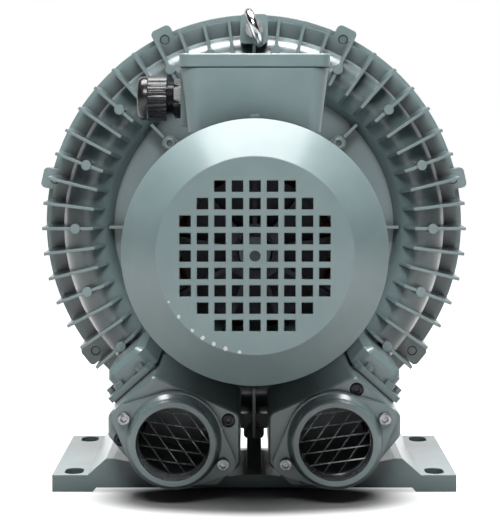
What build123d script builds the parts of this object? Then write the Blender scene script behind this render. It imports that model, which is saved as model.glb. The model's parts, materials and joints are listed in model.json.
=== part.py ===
from build123d import *
from math import atan2, cos, degrees, hypot, radians, sin
import os

# Side channel blower: a finned ring casing and bladed impeller at the back, its motor in front,
# two silencers with threaded ports below the motor, all on one cast foot.
# X is to the right, Y runs from the fan cowl back to the casing, Z is up, the floor is Z = 0.

# ---------------------------------------------------------------- driving dimensions (mm)
axis_z = 204.0             # shaft height above the floor
parting_y = 160.0          # plane where casing and cover meet

# impeller and side channel
impeller_y = 152.0         # middle of the impeller
impeller_w = 28.0
impeller_gap = 0.8         # running gap all round the impeller
channel_mid_r = 142.5
channel_r = 15.5
front_channel_depth = 26.0
rear_channel_depth = 22.0
blade_count = 40
blade_t = 2.6
impeller_hub_r = 30.0
impeller_web_t = 10.0
impeller_bore_r = 14.0

# casing and cover
channel_wall = 6.0
cover_wall = 5.0
hub_wall = 8.0
casing_rim_r = 178.0
cover_rim_r = 183.0
casing_flange_t = 12.0
cover_flange_t = 14.0
lug_count = 7
lug_w = 18.0
lug_l = 22.0
lug_corner_r = 4.0
lug_pitch_r = 178.5
cover_screw_r = 4.0
screw_clearance = 0.15

fin_count = 52
fin_t = 2.6
fin_front_y = 91.3
fin_tip_r = 179.0
fin_flat_r = 136.0
fins_above = 39            # fins from one silencer neck over the top to the other
fins_below = 7             # fins between the two necks
pin_boss_r = 4.2
pin_boss_mid_r = 151.1
pin_boss_proud = 1.6
rear_fin_count = 26
rear_fin_t = 3.4
rear_fin_height = 4.0
cover_hub_r = 40.0
cover_hub_height = 16.0

# motor
housing_bore_r = 72.0
housing_wall = 5.0
housing_fin_r = 88.0
housing_fin_count = 30
housing_fin_t = 2.6
housing_front_y = -112.0
housing_flange_y = 112.0
housing_flange_t = 8.0
motor_boss_mid_r = 101.4
motor_boss_r = 6.5
motor_screw_r = 3.0
hub_rib_count = 8
core_half_length = 65.0
core_y = -5.0
air_gap = 0.5
rotor_r = 45.0
winding_length = 22.0
shield_t = 12.0
cowl_r = 93.3
cowl_face_r = 68.0
cowl_face_y = -197.0
cowl_bevel = 26.3
cowl_rear_y = -102.0
cowl_t = 1.5
grille_pitch = 11.9
grille_hole = 7.8
grille_centre_r = 3.8
fan_r = 84.0
fan_y = -148.0
fan_w = 24.0
fan_blades = 9
shaft_front_y = -168.0
shaft_mid_r = 17.0
shaft_thread_r = 8.0         # thread of the impeller nut
nut_r = 12.0
nut_t = 9.0
washer_t = 2.0
key_w = 8.0
key_h = 7.0
key_l = 20.0
fan_hub_r = 20.0
clip_t = 1.5
end_ring_t = 8.0
shield_screw_mid_r = 82.0
shield_screw_r = 2.5
shield_boss_r = 6.0
shield_boss_l = 22.0
cowl_screw_r = 2.5
cowl_screw_angles = (90, 220, 320)
cable_way_r = 12.0
box_seat_w = 72.0

# bearings, seal
drive_bore_r = 15.0
drive_outer_r = 31.0
drive_ball_r = 4.5
drive_bearing_w = 16.0
drive_bearing_y = 104.0
fan_bore_r = 12.5
fan_outer_r = 26.0
fan_ball_r = 4.0
fan_bearing_w = 15.0
ball_count = 9
cage_t = 2.0
ball_play = 0.05
race_shoulder = 0.34
seal_outer_r = 23.5
seal_w = 7.0

# terminal box and gland
box_y = -42.0
box_bottom_z = 287.0
box_top_z = 334.2
box_bottom_w = 98.0
box_top_w = 109.4
box_wall = 4.0
lid_w = 111.0
lid_t = 9.6
lid_edge = 0.8
lid_screw_sink = 5.0
lid_gasket_t = 0.8
box_corner_r = 9.0
box_floor_t = 4.0
lid_screw_in = 9.5
lid_screw_r = 2.5
lid_post_r = 6.0
board_w = 56.0
board_d = 40.0
board_t = 8.0
board_lift = 5.0
stud_r = 2.5
stud_pitch = 18.0
stud_row = 20.0
gland_z = 312.2
gland_face_x = -55.4
gland_pad_w = 50.0
gland_cable_r = 9.0
gland_nut_r = 17.3
gland_thread_r = 12.5
gland_hex_l = 5.7
gland_neck_l = 5.4
gland_nut_l = 15.7
gland_dome_l = 6.7

# silencers and ports
silencer_front_y = -42.7
silencer_cover_t = 8.0
silencer_back_y = 86.0
silencer_wall = 3.5
silencer_bottom_z = 11.9
tube_t = 1.4
foam_t = 3.0
cover_spots_left = [(-20.2, 63.8), (-103.6, 49.0)]      # screws of each silencer cover, (x, z)
cover_spots_right = [(79.2, 88.0), (38.7, 19.6)]
plate_screw_r = 3.0
plate_head_depth = 6.0
plate_boss_r = 6.5
plate_boss_l = 18.0
port_x = 62.2
port_z = 49.3
port_bore_r = 28.4
port_collar_r = 34.0
port_collar_base_r = 37.0
port_flange_r = 38.0
port_collar_l = 15.0
port_flange_t = 8.0
port_gasket_t = 1.0
port_screw_pitch = 84.0
port_tilt = 25.0
port_ear_r = 9.8
mesh_r = 31.0
mesh_t = 1.2
mesh_pitch = 9.7
mesh_wire = 1.2
mesh_angles = (-8, -55)
neck_gasket_t = 1.5
neck_flange_t = 5.0
neck_height = 22.0
neck_front_y = 8.0
neck_wall = 4.0
neck_bolt_r = 2.5

# foot
foot_half_w = 161.3
foot_inner_x = 133.0
foot_pad_t = 13.6
foot_front_y = -7.5
foot_back_y = 165.5
slot_x = 145.0
slot_front_y = 9.0
slot_pitch_y = 140.0
slot_w = 15.0
slot_l = 24.0
foot_crest_z = 27.0
foot_relief = 3.5
foot_wall = 7.0
foot_deck_t = 5.5
upright_w = 12.0
foot_web_back_y = 95.0
foot_screw_spots = [(-45.0, 12.0), (-45.0, 72.0)]      # screws of the left silencer, (x, y)

# lifting eye
eye_block_w = 23.4
eye_block_h = 24.6
eye_block_z = 359.0
eye_wire_r = 3.7
eye_ring_r = 13.2
eye_collar_r = 7.5
eye_collar_t = 7.0
eye_lean = 20.0

# ---------------------------------------------------------------- sizes that follow from them
blade_front_y = impeller_y - impeller_w / 2
blade_rear_y = impeller_y + impeller_w / 2
bore_r = channel_mid_r + channel_r
impeller_r = bore_r - impeller_gap
hub_r = channel_mid_r - channel_r
hub_back_y = blade_front_y - impeller_gap
hub_front_y = hub_back_y - hub_wall
front_round_y = blade_front_y - front_channel_depth + channel_r
rear_round_y = blade_rear_y + rear_channel_depth - channel_r
ring_in_r = hub_r - channel_wall
ring_out_r = bore_r + channel_wall
flange_y = parting_y - casing_flange_t
cover_back_y = parting_y + cover_flange_t
rear_crest_y = rear_round_y + channel_r + cover_wall
fin_pitch = 360 / fin_count
collar_y = silencer_front_y - port_gasket_t - port_flange_t
silencer_body_y = silencer_front_y + silencer_cover_t
lid_z = box_top_z + lid_gasket_t
hub_boss_r = drive_outer_r + 8
hub_rib_start_r = motor_boss_mid_r + motor_boss_r + 0.5
shield_y = housing_front_y - shield_t

# section of the silencer, from the apex under the cowl round by the outside and the bottom
section = [(-78.4, 99.3), (-113.4, 68.4), (-113.4, 51.8), (-92.6, 26.4),
           (-61.6, silencer_bottom_z), (-28.2, silencer_bottom_z), (-11.1, 29.3), (-11.1, 69.1)]
slant = degrees(atan2(section[0][1] - section[1][1], section[0][0] - section[1][0]))
slant_mid = ((section[0][0] + section[1][0]) / 2, (section[0][1] + section[1][1]) / 2)
slant_length = hypot(section[0][0] - section[1][0], section[0][1] - section[1][1])

radial_plane = Plane(origin=(0, 0, axis_z), x_dir=(1, 0, 0), z_dir=(0, 0, 1))
shaft_axis = Axis((0, 0, axis_z), (0, 1, 0))


def facing(y, z=axis_z, x=0):
    """Plane square to the shaft that faces forward, with its own Y up."""
    return Plane(origin=(x, y, z), x_dir=(1, 0, 0), z_dir=(0, -1, 0))


def neck_plane(height):
    """Plane parallel to the slanted top of the left silencer, lifted off it by a height."""
    return Plane(
        origin=(slant_mid[0] - height * sin(radians(slant)), 0, slant_mid[1] + height * cos(radians(slant))),
        x_dir=(cos(radians(slant)), 0, sin(radians(slant))),
        z_dir=(-sin(radians(slant)), 0, cos(radians(slant))),
    )


def span(low, high, bottom, top, mode=Mode.ADD):
    """Rectangle of the current sketch between two pairs of edges."""
    with Locations(((low + high) / 2, (bottom + top) / 2)):
        Rectangle(high - low, top - bottom, mode=mode)


def save(piece, name):
    piece.part.label = name
    export_step(piece.part, f"parts/{name}.step")


# ---------------------------------------------------------------- blower casing
neck_duct_u = (-14.0, slant_length / 2 + 2.5)
neck_flange_u = (-slant_length / 2 + 1, slant_length / 2 - 0.5)
neck_bolt_spots = [(-slant_length / 2 + 5, 22.0), (-slant_length / 2 + 5, 70.0), (-9.0, 1.5), (12.0, 1.5)]
neck_flange_y = (neck_front_y - 12, silencer_back_y - 4)


def make_fins():
    with BuildPart() as fins:
        with BuildSketch(facing(flange_y)):
            with PolarLocations((ring_in_r + fin_tip_r) / 2, fins_above,
                                start_angle=90 - fin_pitch * (fins_above - 1) / 2,
                                angular_range=fin_pitch * (fins_above - 1), endpoint=True):
                Rectangle(fin_tip_r - ring_in_r + 8, fin_t)
            with PolarLocations((ring_in_r + fin_tip_r) / 2, fins_below,
                                start_angle=-90 - fin_pitch * (fins_below - 1) / 2,
                                angular_range=fin_pitch * (fins_below - 1), endpoint=True):
                Rectangle(fin_tip_r - ring_in_r + 8, fin_t)
        extrude(amount=flange_y - fin_front_y)
        with BuildSketch(radial_plane):
            with BuildLine():
                Polyline((ring_in_r, hub_front_y), (fin_flat_r, fin_front_y), (fin_tip_r, fin_front_y),
                         (fin_tip_r, flange_y), (ring_in_r, flange_y), close=True)
            make_face()
        revolve(axis=shaft_axis, mode=Mode.INTERSECT)
    return fins


def make_neck():
    """Duct of the left silencer: a bolted flange on the slanted face, run back into the ring."""
    normal = Axis((0, 0, 0), neck_plane(0).z_dir)
    with BuildPart() as neck:
        with BuildSketch(neck_plane(neck_gasket_t)):
            span(*neck_duct_u, neck_front_y, front_round_y - 2)
        extrude(amount=neck_height - neck_gasket_t)
        fillet(neck.edges().filter_by(normal).group_by(Axis.Y)[0], radius=8)
        chamfer(neck.faces().sort_by(normal)[-1].edges(), length=5)
        with BuildSketch(neck_plane(neck_gasket_t)):
            span(*neck_flange_u, *neck_flange_y)
        flange = extrude(amount=neck_flange_t)
        fillet(flange.edges().filter_by(normal), radius=5)
    return neck


def make_neck_bore():
    """Air way of the left neck, with the holes of its flange."""
    with BuildPart() as bore:
        with BuildSketch(neck_plane(-1)):
            span(neck_duct_u[0] + neck_wall, neck_duct_u[1] - neck_wall - 2,
                 neck_front_y + neck_wall, silencer_back_y - 12)
        extrude(amount=neck_height - neck_wall + 1)
        with BuildSketch(neck_plane(neck_gasket_t + neck_flange_t)):
            span(neck_duct_u[0] + neck_wall, neck_duct_u[1] - neck_wall - 2,
                 neck_front_y + neck_wall, front_round_y - 1)
        extrude(amount=neck_height - neck_wall - neck_gasket_t - neck_flange_t)
        with BuildSketch(neck_plane(0)):
            with Locations(*neck_bolt_spots):
                Circle(neck_bolt_r + screw_clearance)
        extrude(amount=neck_gasket_t + neck_flange_t + 1)
    return bore


def make_blower_casing():
    fins = make_fins()
    neck = make_neck()
    neck_bore = make_neck_bore()
    with BuildPart() as casing:
        with BuildSketch(radial_plane):
            with Locations((channel_mid_r, front_round_y)):
                Circle(channel_r + channel_wall)
            span(ring_in_r, ring_out_r, front_round_y, parting_y)
            span(ring_in_r, casing_rim_r, flange_y, parting_y)
            span(0, hub_r, hub_front_y, hub_back_y)
            span(0, hub_boss_r, drive_bearing_y - 4, hub_front_y)
        revolve(axis=shaft_axis)
        add(fins.part)
        add(neck.part)
        mirror(neck.part, about=Plane.YZ)
        with BuildSketch(facing(flange_y)):
            with PolarLocations(lug_pitch_r, lug_count, start_angle=-90):
                RectangleRounded(lug_l, lug_w, lug_corner_r)
        extrude(amount=-casing_flange_t)
        with BuildSketch(facing(fin_front_y - pin_boss_proud)):
            with PolarLocations(pin_boss_mid_r, 8, start_angle=-6 * fin_pitch,
                                angular_range=21 * fin_pitch, endpoint=True):
                Circle(pin_boss_r)
            with PolarLocations(pin_boss_mid_r, 6, start_angle=180 - 9 * fin_pitch,
                                angular_range=15 * fin_pitch, endpoint=True):
                Circle(pin_boss_r)
        extrude(amount=-(front_round_y - fin_front_y))
        with BuildSketch(facing(housing_flange_y + housing_flange_t)):
            with PolarLocations(motor_boss_mid_r, 4, start_angle=45):
                Circle(motor_boss_r)
        extrude(amount=-(hub_front_y - housing_flange_y - housing_flange_t))
        with BuildSketch(facing(housing_flange_y)):
            with PolarLocations((hub_rib_start_r + ring_in_r + 3) / 2, hub_rib_count):
                Rectangle(ring_in_r + 3 - hub_rib_start_r, fin_t)
        extrude(amount=-(hub_front_y - housing_flange_y))
        with BuildSketch(facing(fin_front_y - 4, eye_block_z + eye_block_h / 2)):
            RectangleRounded(eye_block_w, eye_block_h, 4)
        extrude(amount=-(flange_y - fin_front_y + 4))
        # the hollow side: ring channel, impeller pocket, bearing and seal seats
        with BuildSketch(radial_plane):
            with Locations((channel_mid_r, front_round_y)):
                Circle(channel_r)
            span(hub_r, bore_r, front_round_y, parting_y)
            span(0, bore_r, hub_back_y, parting_y)
            span(0, drive_outer_r, drive_bearing_y - 4, drive_bearing_y + drive_bearing_w)
            span(0, seal_outer_r, hub_front_y - seal_w, hub_front_y)
            span(0, drive_bore_r + 2, drive_bearing_y, hub_back_y)
        revolve(axis=shaft_axis, mode=Mode.SUBTRACT)
        add(neck_bore.part, mode=Mode.SUBTRACT)
        mirror(neck_bore.part, about=Plane.YZ, mode=Mode.SUBTRACT)
        with Locations(facing(flange_y - 1)):
            with PolarLocations(lug_pitch_r, lug_count, start_angle=-90):
                Cylinder(cover_screw_r + screw_clearance, 2 * casing_flange_t + 6, mode=Mode.SUBTRACT)
        with Locations(facing(hub_front_y)):
            with PolarLocations(motor_boss_mid_r, 4, start_angle=45):
                Cylinder(motor_screw_r + screw_clearance, hub_wall + 12, mode=Mode.SUBTRACT)
        with Locations(facing(fin_front_y, eye_block_z + eye_block_h / 2)):
            Cylinder(cover_screw_r + screw_clearance, 36, mode=Mode.SUBTRACT)
    save(casing, "blower_casing")


# ---------------------------------------------------------------- casing cover and its screws
def make_casing_cover():
    with BuildPart() as ribs:
        with BuildSketch(facing(cover_back_y)):
            with PolarLocations((cover_hub_r + casing_rim_r) / 2, rear_fin_count):
                Rectangle(casing_rim_r - cover_hub_r + 8, rear_fin_t)
        extrude(amount=-(rear_crest_y + rear_fin_height - cover_back_y))
        with BuildSketch(radial_plane):
            with BuildLine():
                Polyline((cover_hub_r - 4, cover_back_y), (casing_rim_r, cover_back_y),
                         (bore_r + cover_wall, rear_crest_y + rear_fin_height),
                         (hub_r - cover_wall, rear_crest_y + rear_fin_height),
                         (cover_hub_r - 4, cover_back_y + cover_hub_height / 2), close=True)
            make_face()
        revolve(axis=shaft_axis, mode=Mode.INTERSECT)
    with BuildPart() as cover:
        with BuildSketch(radial_plane):
            with Locations((channel_mid_r, rear_round_y)):
                RegularPolygon((channel_r + cover_wall), 12, major_radius=False, rotation=15)
            span(hub_r - cover_wall, bore_r + cover_wall, parting_y, rear_round_y)
            span(0, hub_r, blade_rear_y + impeller_gap, cover_back_y)
            span(bore_r, cover_rim_r, parting_y, cover_back_y)
            span(0, cover_hub_r, cover_back_y, cover_back_y + cover_hub_height)
            span(0, cover_rim_r, parting_y - channel_r - cover_wall, parting_y, mode=Mode.SUBTRACT)
        revolve(axis=shaft_axis)
        add(ribs.part)
        with BuildSketch(facing(parting_y)):
            with PolarLocations(lug_pitch_r, lug_count, start_angle=-90):
                RectangleRounded(lug_l, lug_w, lug_corner_r)
        extrude(amount=-cover_flange_t)
        with BuildSketch(radial_plane):
            with Locations((channel_mid_r, rear_round_y)):
                Circle(channel_r)
            span(hub_r, bore_r, parting_y, rear_round_y)
            span(0, bore_r, parting_y, blade_rear_y + impeller_gap)
            span(0, nut_r + 6, blade_rear_y, cover_back_y + cover_hub_height - cover_wall)
        revolve(axis=shaft_axis, mode=Mode.SUBTRACT)
        with BuildSketch(facing(parting_y)):
            with PolarLocations(lug_pitch_r, lug_count, start_angle=-90):
                Circle(cover_screw_r + screw_clearance)
        extrude(amount=-cover_flange_t - rear_fin_height, mode=Mode.SUBTRACT)
        with BuildSketch(facing(cover_back_y)):
            with PolarLocations(lug_pitch_r, lug_count, start_angle=-90):
                Circle(screw_head(cover_screw_r) + 1)
        extrude(amount=-rear_crest_y + cover_back_y - rear_fin_height, mode=Mode.SUBTRACT)
    save(cover, "casing_cover")


def screw_head(shank_r):
    """Radius of a cap screw's head."""
    return 1.6 * shank_r


def cap_screw(shank_r, shank_l):
    """Cap screw with its seat at the origin and its shank down -Z."""
    with BuildPart(mode=Mode.PRIVATE) as screw:
        Cylinder(shank_r, shank_l, align=(Align.CENTER, Align.CENTER, Align.MAX))
        Cylinder(screw_head(shank_r), 1.8 * shank_r, align=(Align.CENTER, Align.CENTER, Align.MIN))
    return screw.part


def make_cover_screws():
    screw = cap_screw(cover_screw_r, cover_flange_t + casing_flange_t - 1)
    with BuildPart() as screws:
        with Locations(Plane(origin=(0, cover_back_y, axis_z), x_dir=(-1, 0, 0), z_dir=(0, 1, 0))):
            with PolarLocations(lug_pitch_r, lug_count, start_angle=-90):
                add(screw)
    save(screws, "cover_screws")


# ---------------------------------------------------------------- rotor


def make_impeller():
    """Disc with a ring of straight radial blades that part two half-round grooves."""
    with BuildPart() as blades:
        with BuildSketch(facing(blade_front_y)):
            with PolarLocations((hub_r + impeller_r) / 2, blade_count):
                Rectangle(impeller_r - hub_r + 6, blade_t)
        extrude(amount=-impeller_w)
        with BuildSketch(radial_plane):
            span(hub_r - 1, impeller_r, blade_front_y, blade_rear_y)
        revolve(axis=shaft_axis, mode=Mode.INTERSECT)
    with BuildPart() as impeller:
        with BuildSketch(radial_plane):
            span(impeller_bore_r, impeller_hub_r, blade_front_y, blade_rear_y)
            span(impeller_hub_r, hub_r, impeller_y - impeller_web_t / 2, impeller_y + impeller_web_t / 2)
            span(hub_r - 8, hub_r, blade_front_y, blade_rear_y)
            span(hub_r, impeller_r, impeller_y - impeller_w / 2 + 4, impeller_y + impeller_w / 2 - 4)
            for groove_y in (blade_front_y - 3, blade_rear_y + 3):
                with Locations((channel_mid_r, groove_y)):
                    RegularPolygon(channel_r - 1, 8, major_radius=False, rotation=22.5, mode=Mode.SUBTRACT)
        revolve(axis=shaft_axis)
        add(blades.part)
        with Locations((0, impeller_y, axis_z + impeller_bore_r)):
            Box(key_w + 0.1, impeller_w, 2 * (key_h / 2 + 0.2), mode=Mode.SUBTRACT)
    save(impeller, "impeller")


def make_rotor():
    with BuildPart() as shaft:
        with BuildSketch(radial_plane):
            span(0, fan_bore_r, shaft_front_y, housing_front_y + 4)
            span(0, shaft_mid_r, housing_front_y + 4, drive_bearing_y)
            span(0, drive_bore_r, drive_bearing_y, blade_front_y)
            span(0, impeller_bore_r, blade_front_y, blade_rear_y)
            span(0, shaft_thread_r, blade_rear_y, blade_rear_y + washer_t + nut_t + 1)
        revolve(axis=shaft_axis)
        chamfer(shaft.edges().group_by(Axis.Y)[0], length=1.5)
        with Locations((0, impeller_y, axis_z + impeller_bore_r)):
            Box(key_w, key_l, key_h, mode=Mode.SUBTRACT)
        with BuildSketch(radial_plane):
            span(fan_bore_r - 1, fan_bore_r + 1, fan_y - fan_w / 2 - clip_t, fan_y - fan_w / 2)
        revolve(axis=shaft_axis, mode=Mode.SUBTRACT)
    save(shaft, "rotor_shaft")

    with BuildPart() as key:
        with Locations((0, impeller_y, axis_z + impeller_bore_r)):
            Box(key_w, key_l, key_h)
    save(key, "impeller_key")

    with BuildPart() as nut:
        with BuildSketch(radial_plane):
            span(shaft_thread_r, nut_r + 2, blade_rear_y, blade_rear_y + washer_t)
        revolve(axis=shaft_axis)
        with BuildSketch(facing(blade_rear_y + washer_t)):
            RegularPolygon(nut_r, 6)
            Circle(shaft_thread_r, mode=Mode.SUBTRACT)
        extrude(amount=-nut_t)
    save(nut, "impeller_nut")

    with BuildPart() as core:
        with BuildSketch(radial_plane):
            span(shaft_mid_r, rotor_r, core_y - core_half_length, core_y + core_half_length)
        revolve(axis=shaft_axis)
    save(core, "rotor_core")

    with BuildPart() as rings:
        with BuildSketch(radial_plane):
            span(rotor_r - 14, rotor_r, core_y - core_half_length - end_ring_t, core_y - core_half_length)
            span(rotor_r - 14, rotor_r, core_y + core_half_length, core_y + core_half_length + end_ring_t)
        revolve(axis=shaft_axis)
    save(rings, "rotor_end_rings")


def make_cooling_fan():
    with BuildPart() as fan:
        with BuildSketch(radial_plane):
            span(fan_bore_r, fan_hub_r, fan_y - fan_w / 2, fan_y + fan_w / 2)
            span(fan_hub_r, fan_r * 0.62, fan_y + fan_w / 2 - 3, fan_y + fan_w / 2)
        revolve(axis=shaft_axis)
        with BuildSketch(facing(fan_y - fan_w / 2)):
            with PolarLocations((fan_hub_r + fan_r) / 2, fan_blades, start_angle=90):
                Rectangle(fan_r - fan_hub_r + 2, 3)
        extrude(amount=-fan_w)
    save(fan, "cooling_fan")

    with BuildPart() as clip:
        with BuildSketch(facing(fan_y - fan_w / 2)):
            Circle(fan_bore_r + 3)
            Circle(fan_bore_r - 1, mode=Mode.SUBTRACT)
            with Locations((0, -fan_bore_r)):
                Rectangle(7, 10, mode=Mode.SUBTRACT)
        extrude(amount=clip_t)
    save(clip, "fan_clip")


# ---------------------------------------------------------------- bearings and seal
def make_bearing(name, bore, outer, width, front, ball):
    pitch = (bore + outer) / 2
    middle = front + width / 2
    shoulder = race_shoulder * (outer - bore) / 2 * 2
    for race, low, high in (("inner", bore, bore + shoulder), ("outer", outer - shoulder, outer)):
        with BuildPart() as ring:
            with BuildSketch(radial_plane):
                span(low, high, front, front + width)
                with Locations((pitch, middle)):
                    Circle(ball + ball_play, mode=Mode.SUBTRACT)
            revolve(axis=shaft_axis)
        save(ring, f"{name}_bearing_{race}")
    with BuildPart() as balls:
        with BuildSketch(radial_plane):
            span(pitch - cage_t / 2, pitch + cage_t / 2, middle - ball - 1, middle + ball + 1)
        revolve(axis=shaft_axis)
        with Locations(facing(middle)):
            with PolarLocations(pitch, ball_count):
                Sphere(ball)
    save(balls, f"{name}_bearing_balls")


def make_bearings():
    make_bearing("drive", drive_bore_r, drive_outer_r, drive_bearing_w, drive_bearing_y, drive_ball_r)
    make_bearing("fan", fan_bore_r, fan_outer_r, fan_bearing_w, shield_y, fan_ball_r)
    with BuildPart() as seal:
        with BuildSketch(radial_plane):
            span(drive_bore_r + 0.4, seal_outer_r, hub_front_y - seal_w, hub_front_y)
        revolve(axis=shaft_axis)
    save(seal, "shaft_seal")


# ---------------------------------------------------------------- motor


def make_motor_housing():
    with BuildPart() as housing:
        with BuildSketch(facing(housing_front_y)):
            Circle(housing_bore_r + housing_wall)
            with PolarLocations((housing_bore_r + housing_fin_r) / 2, housing_fin_count):
                Rectangle(housing_fin_r - housing_bore_r, housing_fin_t)
        extrude(amount=-(housing_flange_y - housing_front_y))
        with BuildSketch(facing(housing_front_y)):
            with PolarLocations(shield_screw_mid_r, 4, start_angle=45):
                Circle(shield_boss_r)
        extrude(amount=-shield_boss_l)
        with BuildSketch(facing(housing_flange_y)):
            Circle(housing_fin_r + 4)
            with PolarLocations(motor_boss_mid_r / 2 + 20, 4, start_angle=45):
                Rectangle(motor_boss_mid_r - 40, 2 * motor_boss_r)
            with PolarLocations(motor_boss_mid_r, 4, start_angle=45):
                Circle(motor_boss_r)
        extrude(amount=-housing_flange_t)
        with Locations((0, box_y, (axis_z + box_bottom_z) / 2)):
            Box(box_seat_w, box_seat_w, box_bottom_z - axis_z)
        with Locations((0, box_y, box_bottom_z)):
            Box(box_bottom_w + 4, box_bottom_w + 4, housing_fin_r, align=(Align.CENTER, Align.CENTER, Align.MIN),
                mode=Mode.SUBTRACT)
        with BuildSketch(facing(housing_front_y)):
            Circle(housing_bore_r)
        extrude(amount=-(housing_flange_y + housing_flange_t - housing_front_y), mode=Mode.SUBTRACT)
        with Locations((0, box_y, box_bottom_z)):
            Cylinder(cable_way_r, 40, mode=Mode.SUBTRACT)
        with BuildSketch(facing(housing_front_y)):
            with PolarLocations(shield_screw_mid_r, 4, start_angle=45):
                Circle(shield_screw_r + screw_clearance)
        extrude(amount=-shield_boss_l + 3, mode=Mode.SUBTRACT)
        with BuildSketch(facing(housing_flange_y)):
            with PolarLocations(motor_boss_mid_r, 4, start_angle=45):
                Circle(motor_screw_r + screw_clearance)
        extrude(amount=-housing_flange_t, mode=Mode.SUBTRACT)
    save(housing, "motor_housing")

    screw = cap_screw(motor_screw_r, housing_flange_t + 11)
    with BuildPart() as screws:
        with Locations(facing(housing_flange_y)):
            with PolarLocations(motor_boss_mid_r, 4, start_angle=45):
                add(screw)
    save(screws, "motor_screws")


def make_stator():
    with BuildPart() as core:
        with BuildSketch(radial_plane):
            span(rotor_r + air_gap, housing_bore_r, core_y - core_half_length, core_y + core_half_length)
        revolve(axis=shaft_axis)
    save(core, "stator_core")

    with BuildPart() as windings:
        with BuildSketch(radial_plane):
            for middle in (core_y - core_half_length - winding_length / 2,
                           core_y + core_half_length + winding_length / 2):
                with Locations(((rotor_r + housing_bore_r) / 2, middle)):
                    Rectangle(housing_bore_r - rotor_r - 10, winding_length)
        revolve(axis=shaft_axis)
    save(windings, "stator_windings")


def make_end_shield():
    with BuildPart() as shield:
        with BuildSketch(facing(shield_y)):
            Circle(housing_bore_r + housing_wall)
            with PolarLocations(shield_screw_mid_r, 4, start_angle=45):
                Circle(shield_boss_r)
            for angle in cowl_screw_angles:
                with PolarLocations((cowl_r - cowl_t) / 2, 1, start_angle=angle):
                    Rectangle(cowl_r - cowl_t + 4, 14)
            Circle(cowl_r - cowl_t, mode=Mode.INTERSECT)
            with PolarLocations((fan_outer_r + 6 + housing_bore_r) / 2, 8, start_angle=22.5):
                SlotCenterToCenter(18, 10, rotation=90, mode=Mode.SUBTRACT)
        extrude(amount=-shield_t)
        with BuildSketch(radial_plane):
            span(0, fan_outer_r + 6, shield_y, shield_y + fan_bearing_w + 3)
            span(housing_bore_r - 6, housing_bore_r, housing_front_y, housing_front_y + 6)
        revolve(axis=shaft_axis)
        with BuildSketch(radial_plane):
            span(0, fan_outer_r, shield_y, shield_y + fan_bearing_w)
            span(0, shaft_mid_r + 3, shield_y, shield_y + fan_bearing_w + 3)
        revolve(axis=shaft_axis, mode=Mode.SUBTRACT)
        with BuildSketch(facing(shield_y)):
            with PolarLocations(shield_screw_mid_r, 4, start_angle=45):
                Circle(shield_screw_r + screw_clearance)
        extrude(amount=-shield_t, mode=Mode.SUBTRACT)
        with Locations(facing(shield_y + shield_t / 2)):
            for angle in cowl_screw_angles:
                with PolarLocations(cowl_r - cowl_t, 1, start_angle=angle):
                    with Locations(Rotation(0, 90, 0)):
                        Cylinder(cowl_screw_r + screw_clearance, 24, mode=Mode.SUBTRACT)
    save(shield, "end_shield")

    screw = cap_screw(shield_screw_r, shield_t + shield_boss_l - 8)
    with BuildPart() as screws:
        with Locations(facing(shield_y)):
            with PolarLocations(shield_screw_mid_r, 4, start_angle=45):
                add(screw)
    save(screws, "end_shield_screws")


def make_fan_cowl():
    with BuildPart() as cowl:
        with BuildSketch(radial_plane):
            with BuildLine():
                Polyline((0, cowl_face_y), (cowl_face_r, cowl_face_y), (cowl_r, cowl_face_y + cowl_bevel),
                         (cowl_r, cowl_rear_y), (0, cowl_rear_y), close=True)
            make_face()
        revolve(axis=shaft_axis)
        offset(amount=-cowl_t, openings=cowl.faces().sort_by(Axis.Y)[-1])
        with BuildSketch(facing(cowl_face_y)):
            for row in range(-4, 5):
                columns = min(9, 13 - 2 * abs(row))
                with Locations((0, row * grille_pitch)):
                    with GridLocations(grille_pitch, grille_pitch, columns, 1):
                        Rectangle(grille_hole, grille_hole)
            Rectangle(grille_hole, grille_hole, mode=Mode.SUBTRACT)
            Circle(grille_centre_r)
        extrude(amount=-cowl_t - 1, mode=Mode.SUBTRACT)
        with Locations(facing(shield_y + shield_t / 2)):
            for angle in cowl_screw_angles:
                with PolarLocations(cowl_r, 1, start_angle=angle):
                    with Locations(Rotation(0, 90, 0)):
                        Cylinder(cowl_screw_r + screw_clearance, 10, mode=Mode.SUBTRACT)
    save(cowl, "fan_cowl")

    with BuildPart() as screw:
        with BuildSketch(Plane.XY.offset(0)):
            RegularPolygon(4.2, 6)
        extrude(amount=3)
        Cylinder(cowl_screw_r, 11, align=(Align.CENTER, Align.CENTER, Align.MAX))
    with BuildPart() as screws:
        with Locations(facing(shield_y + shield_t / 2)):
            for angle in cowl_screw_angles:
                with PolarLocations(cowl_r, 1, start_angle=angle):
                    with Locations(Rotation(0, 90, 0)):
                        add(screw.part)
    save(screws, "cowl_screws")


# ---------------------------------------------------------------- terminal box


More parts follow.
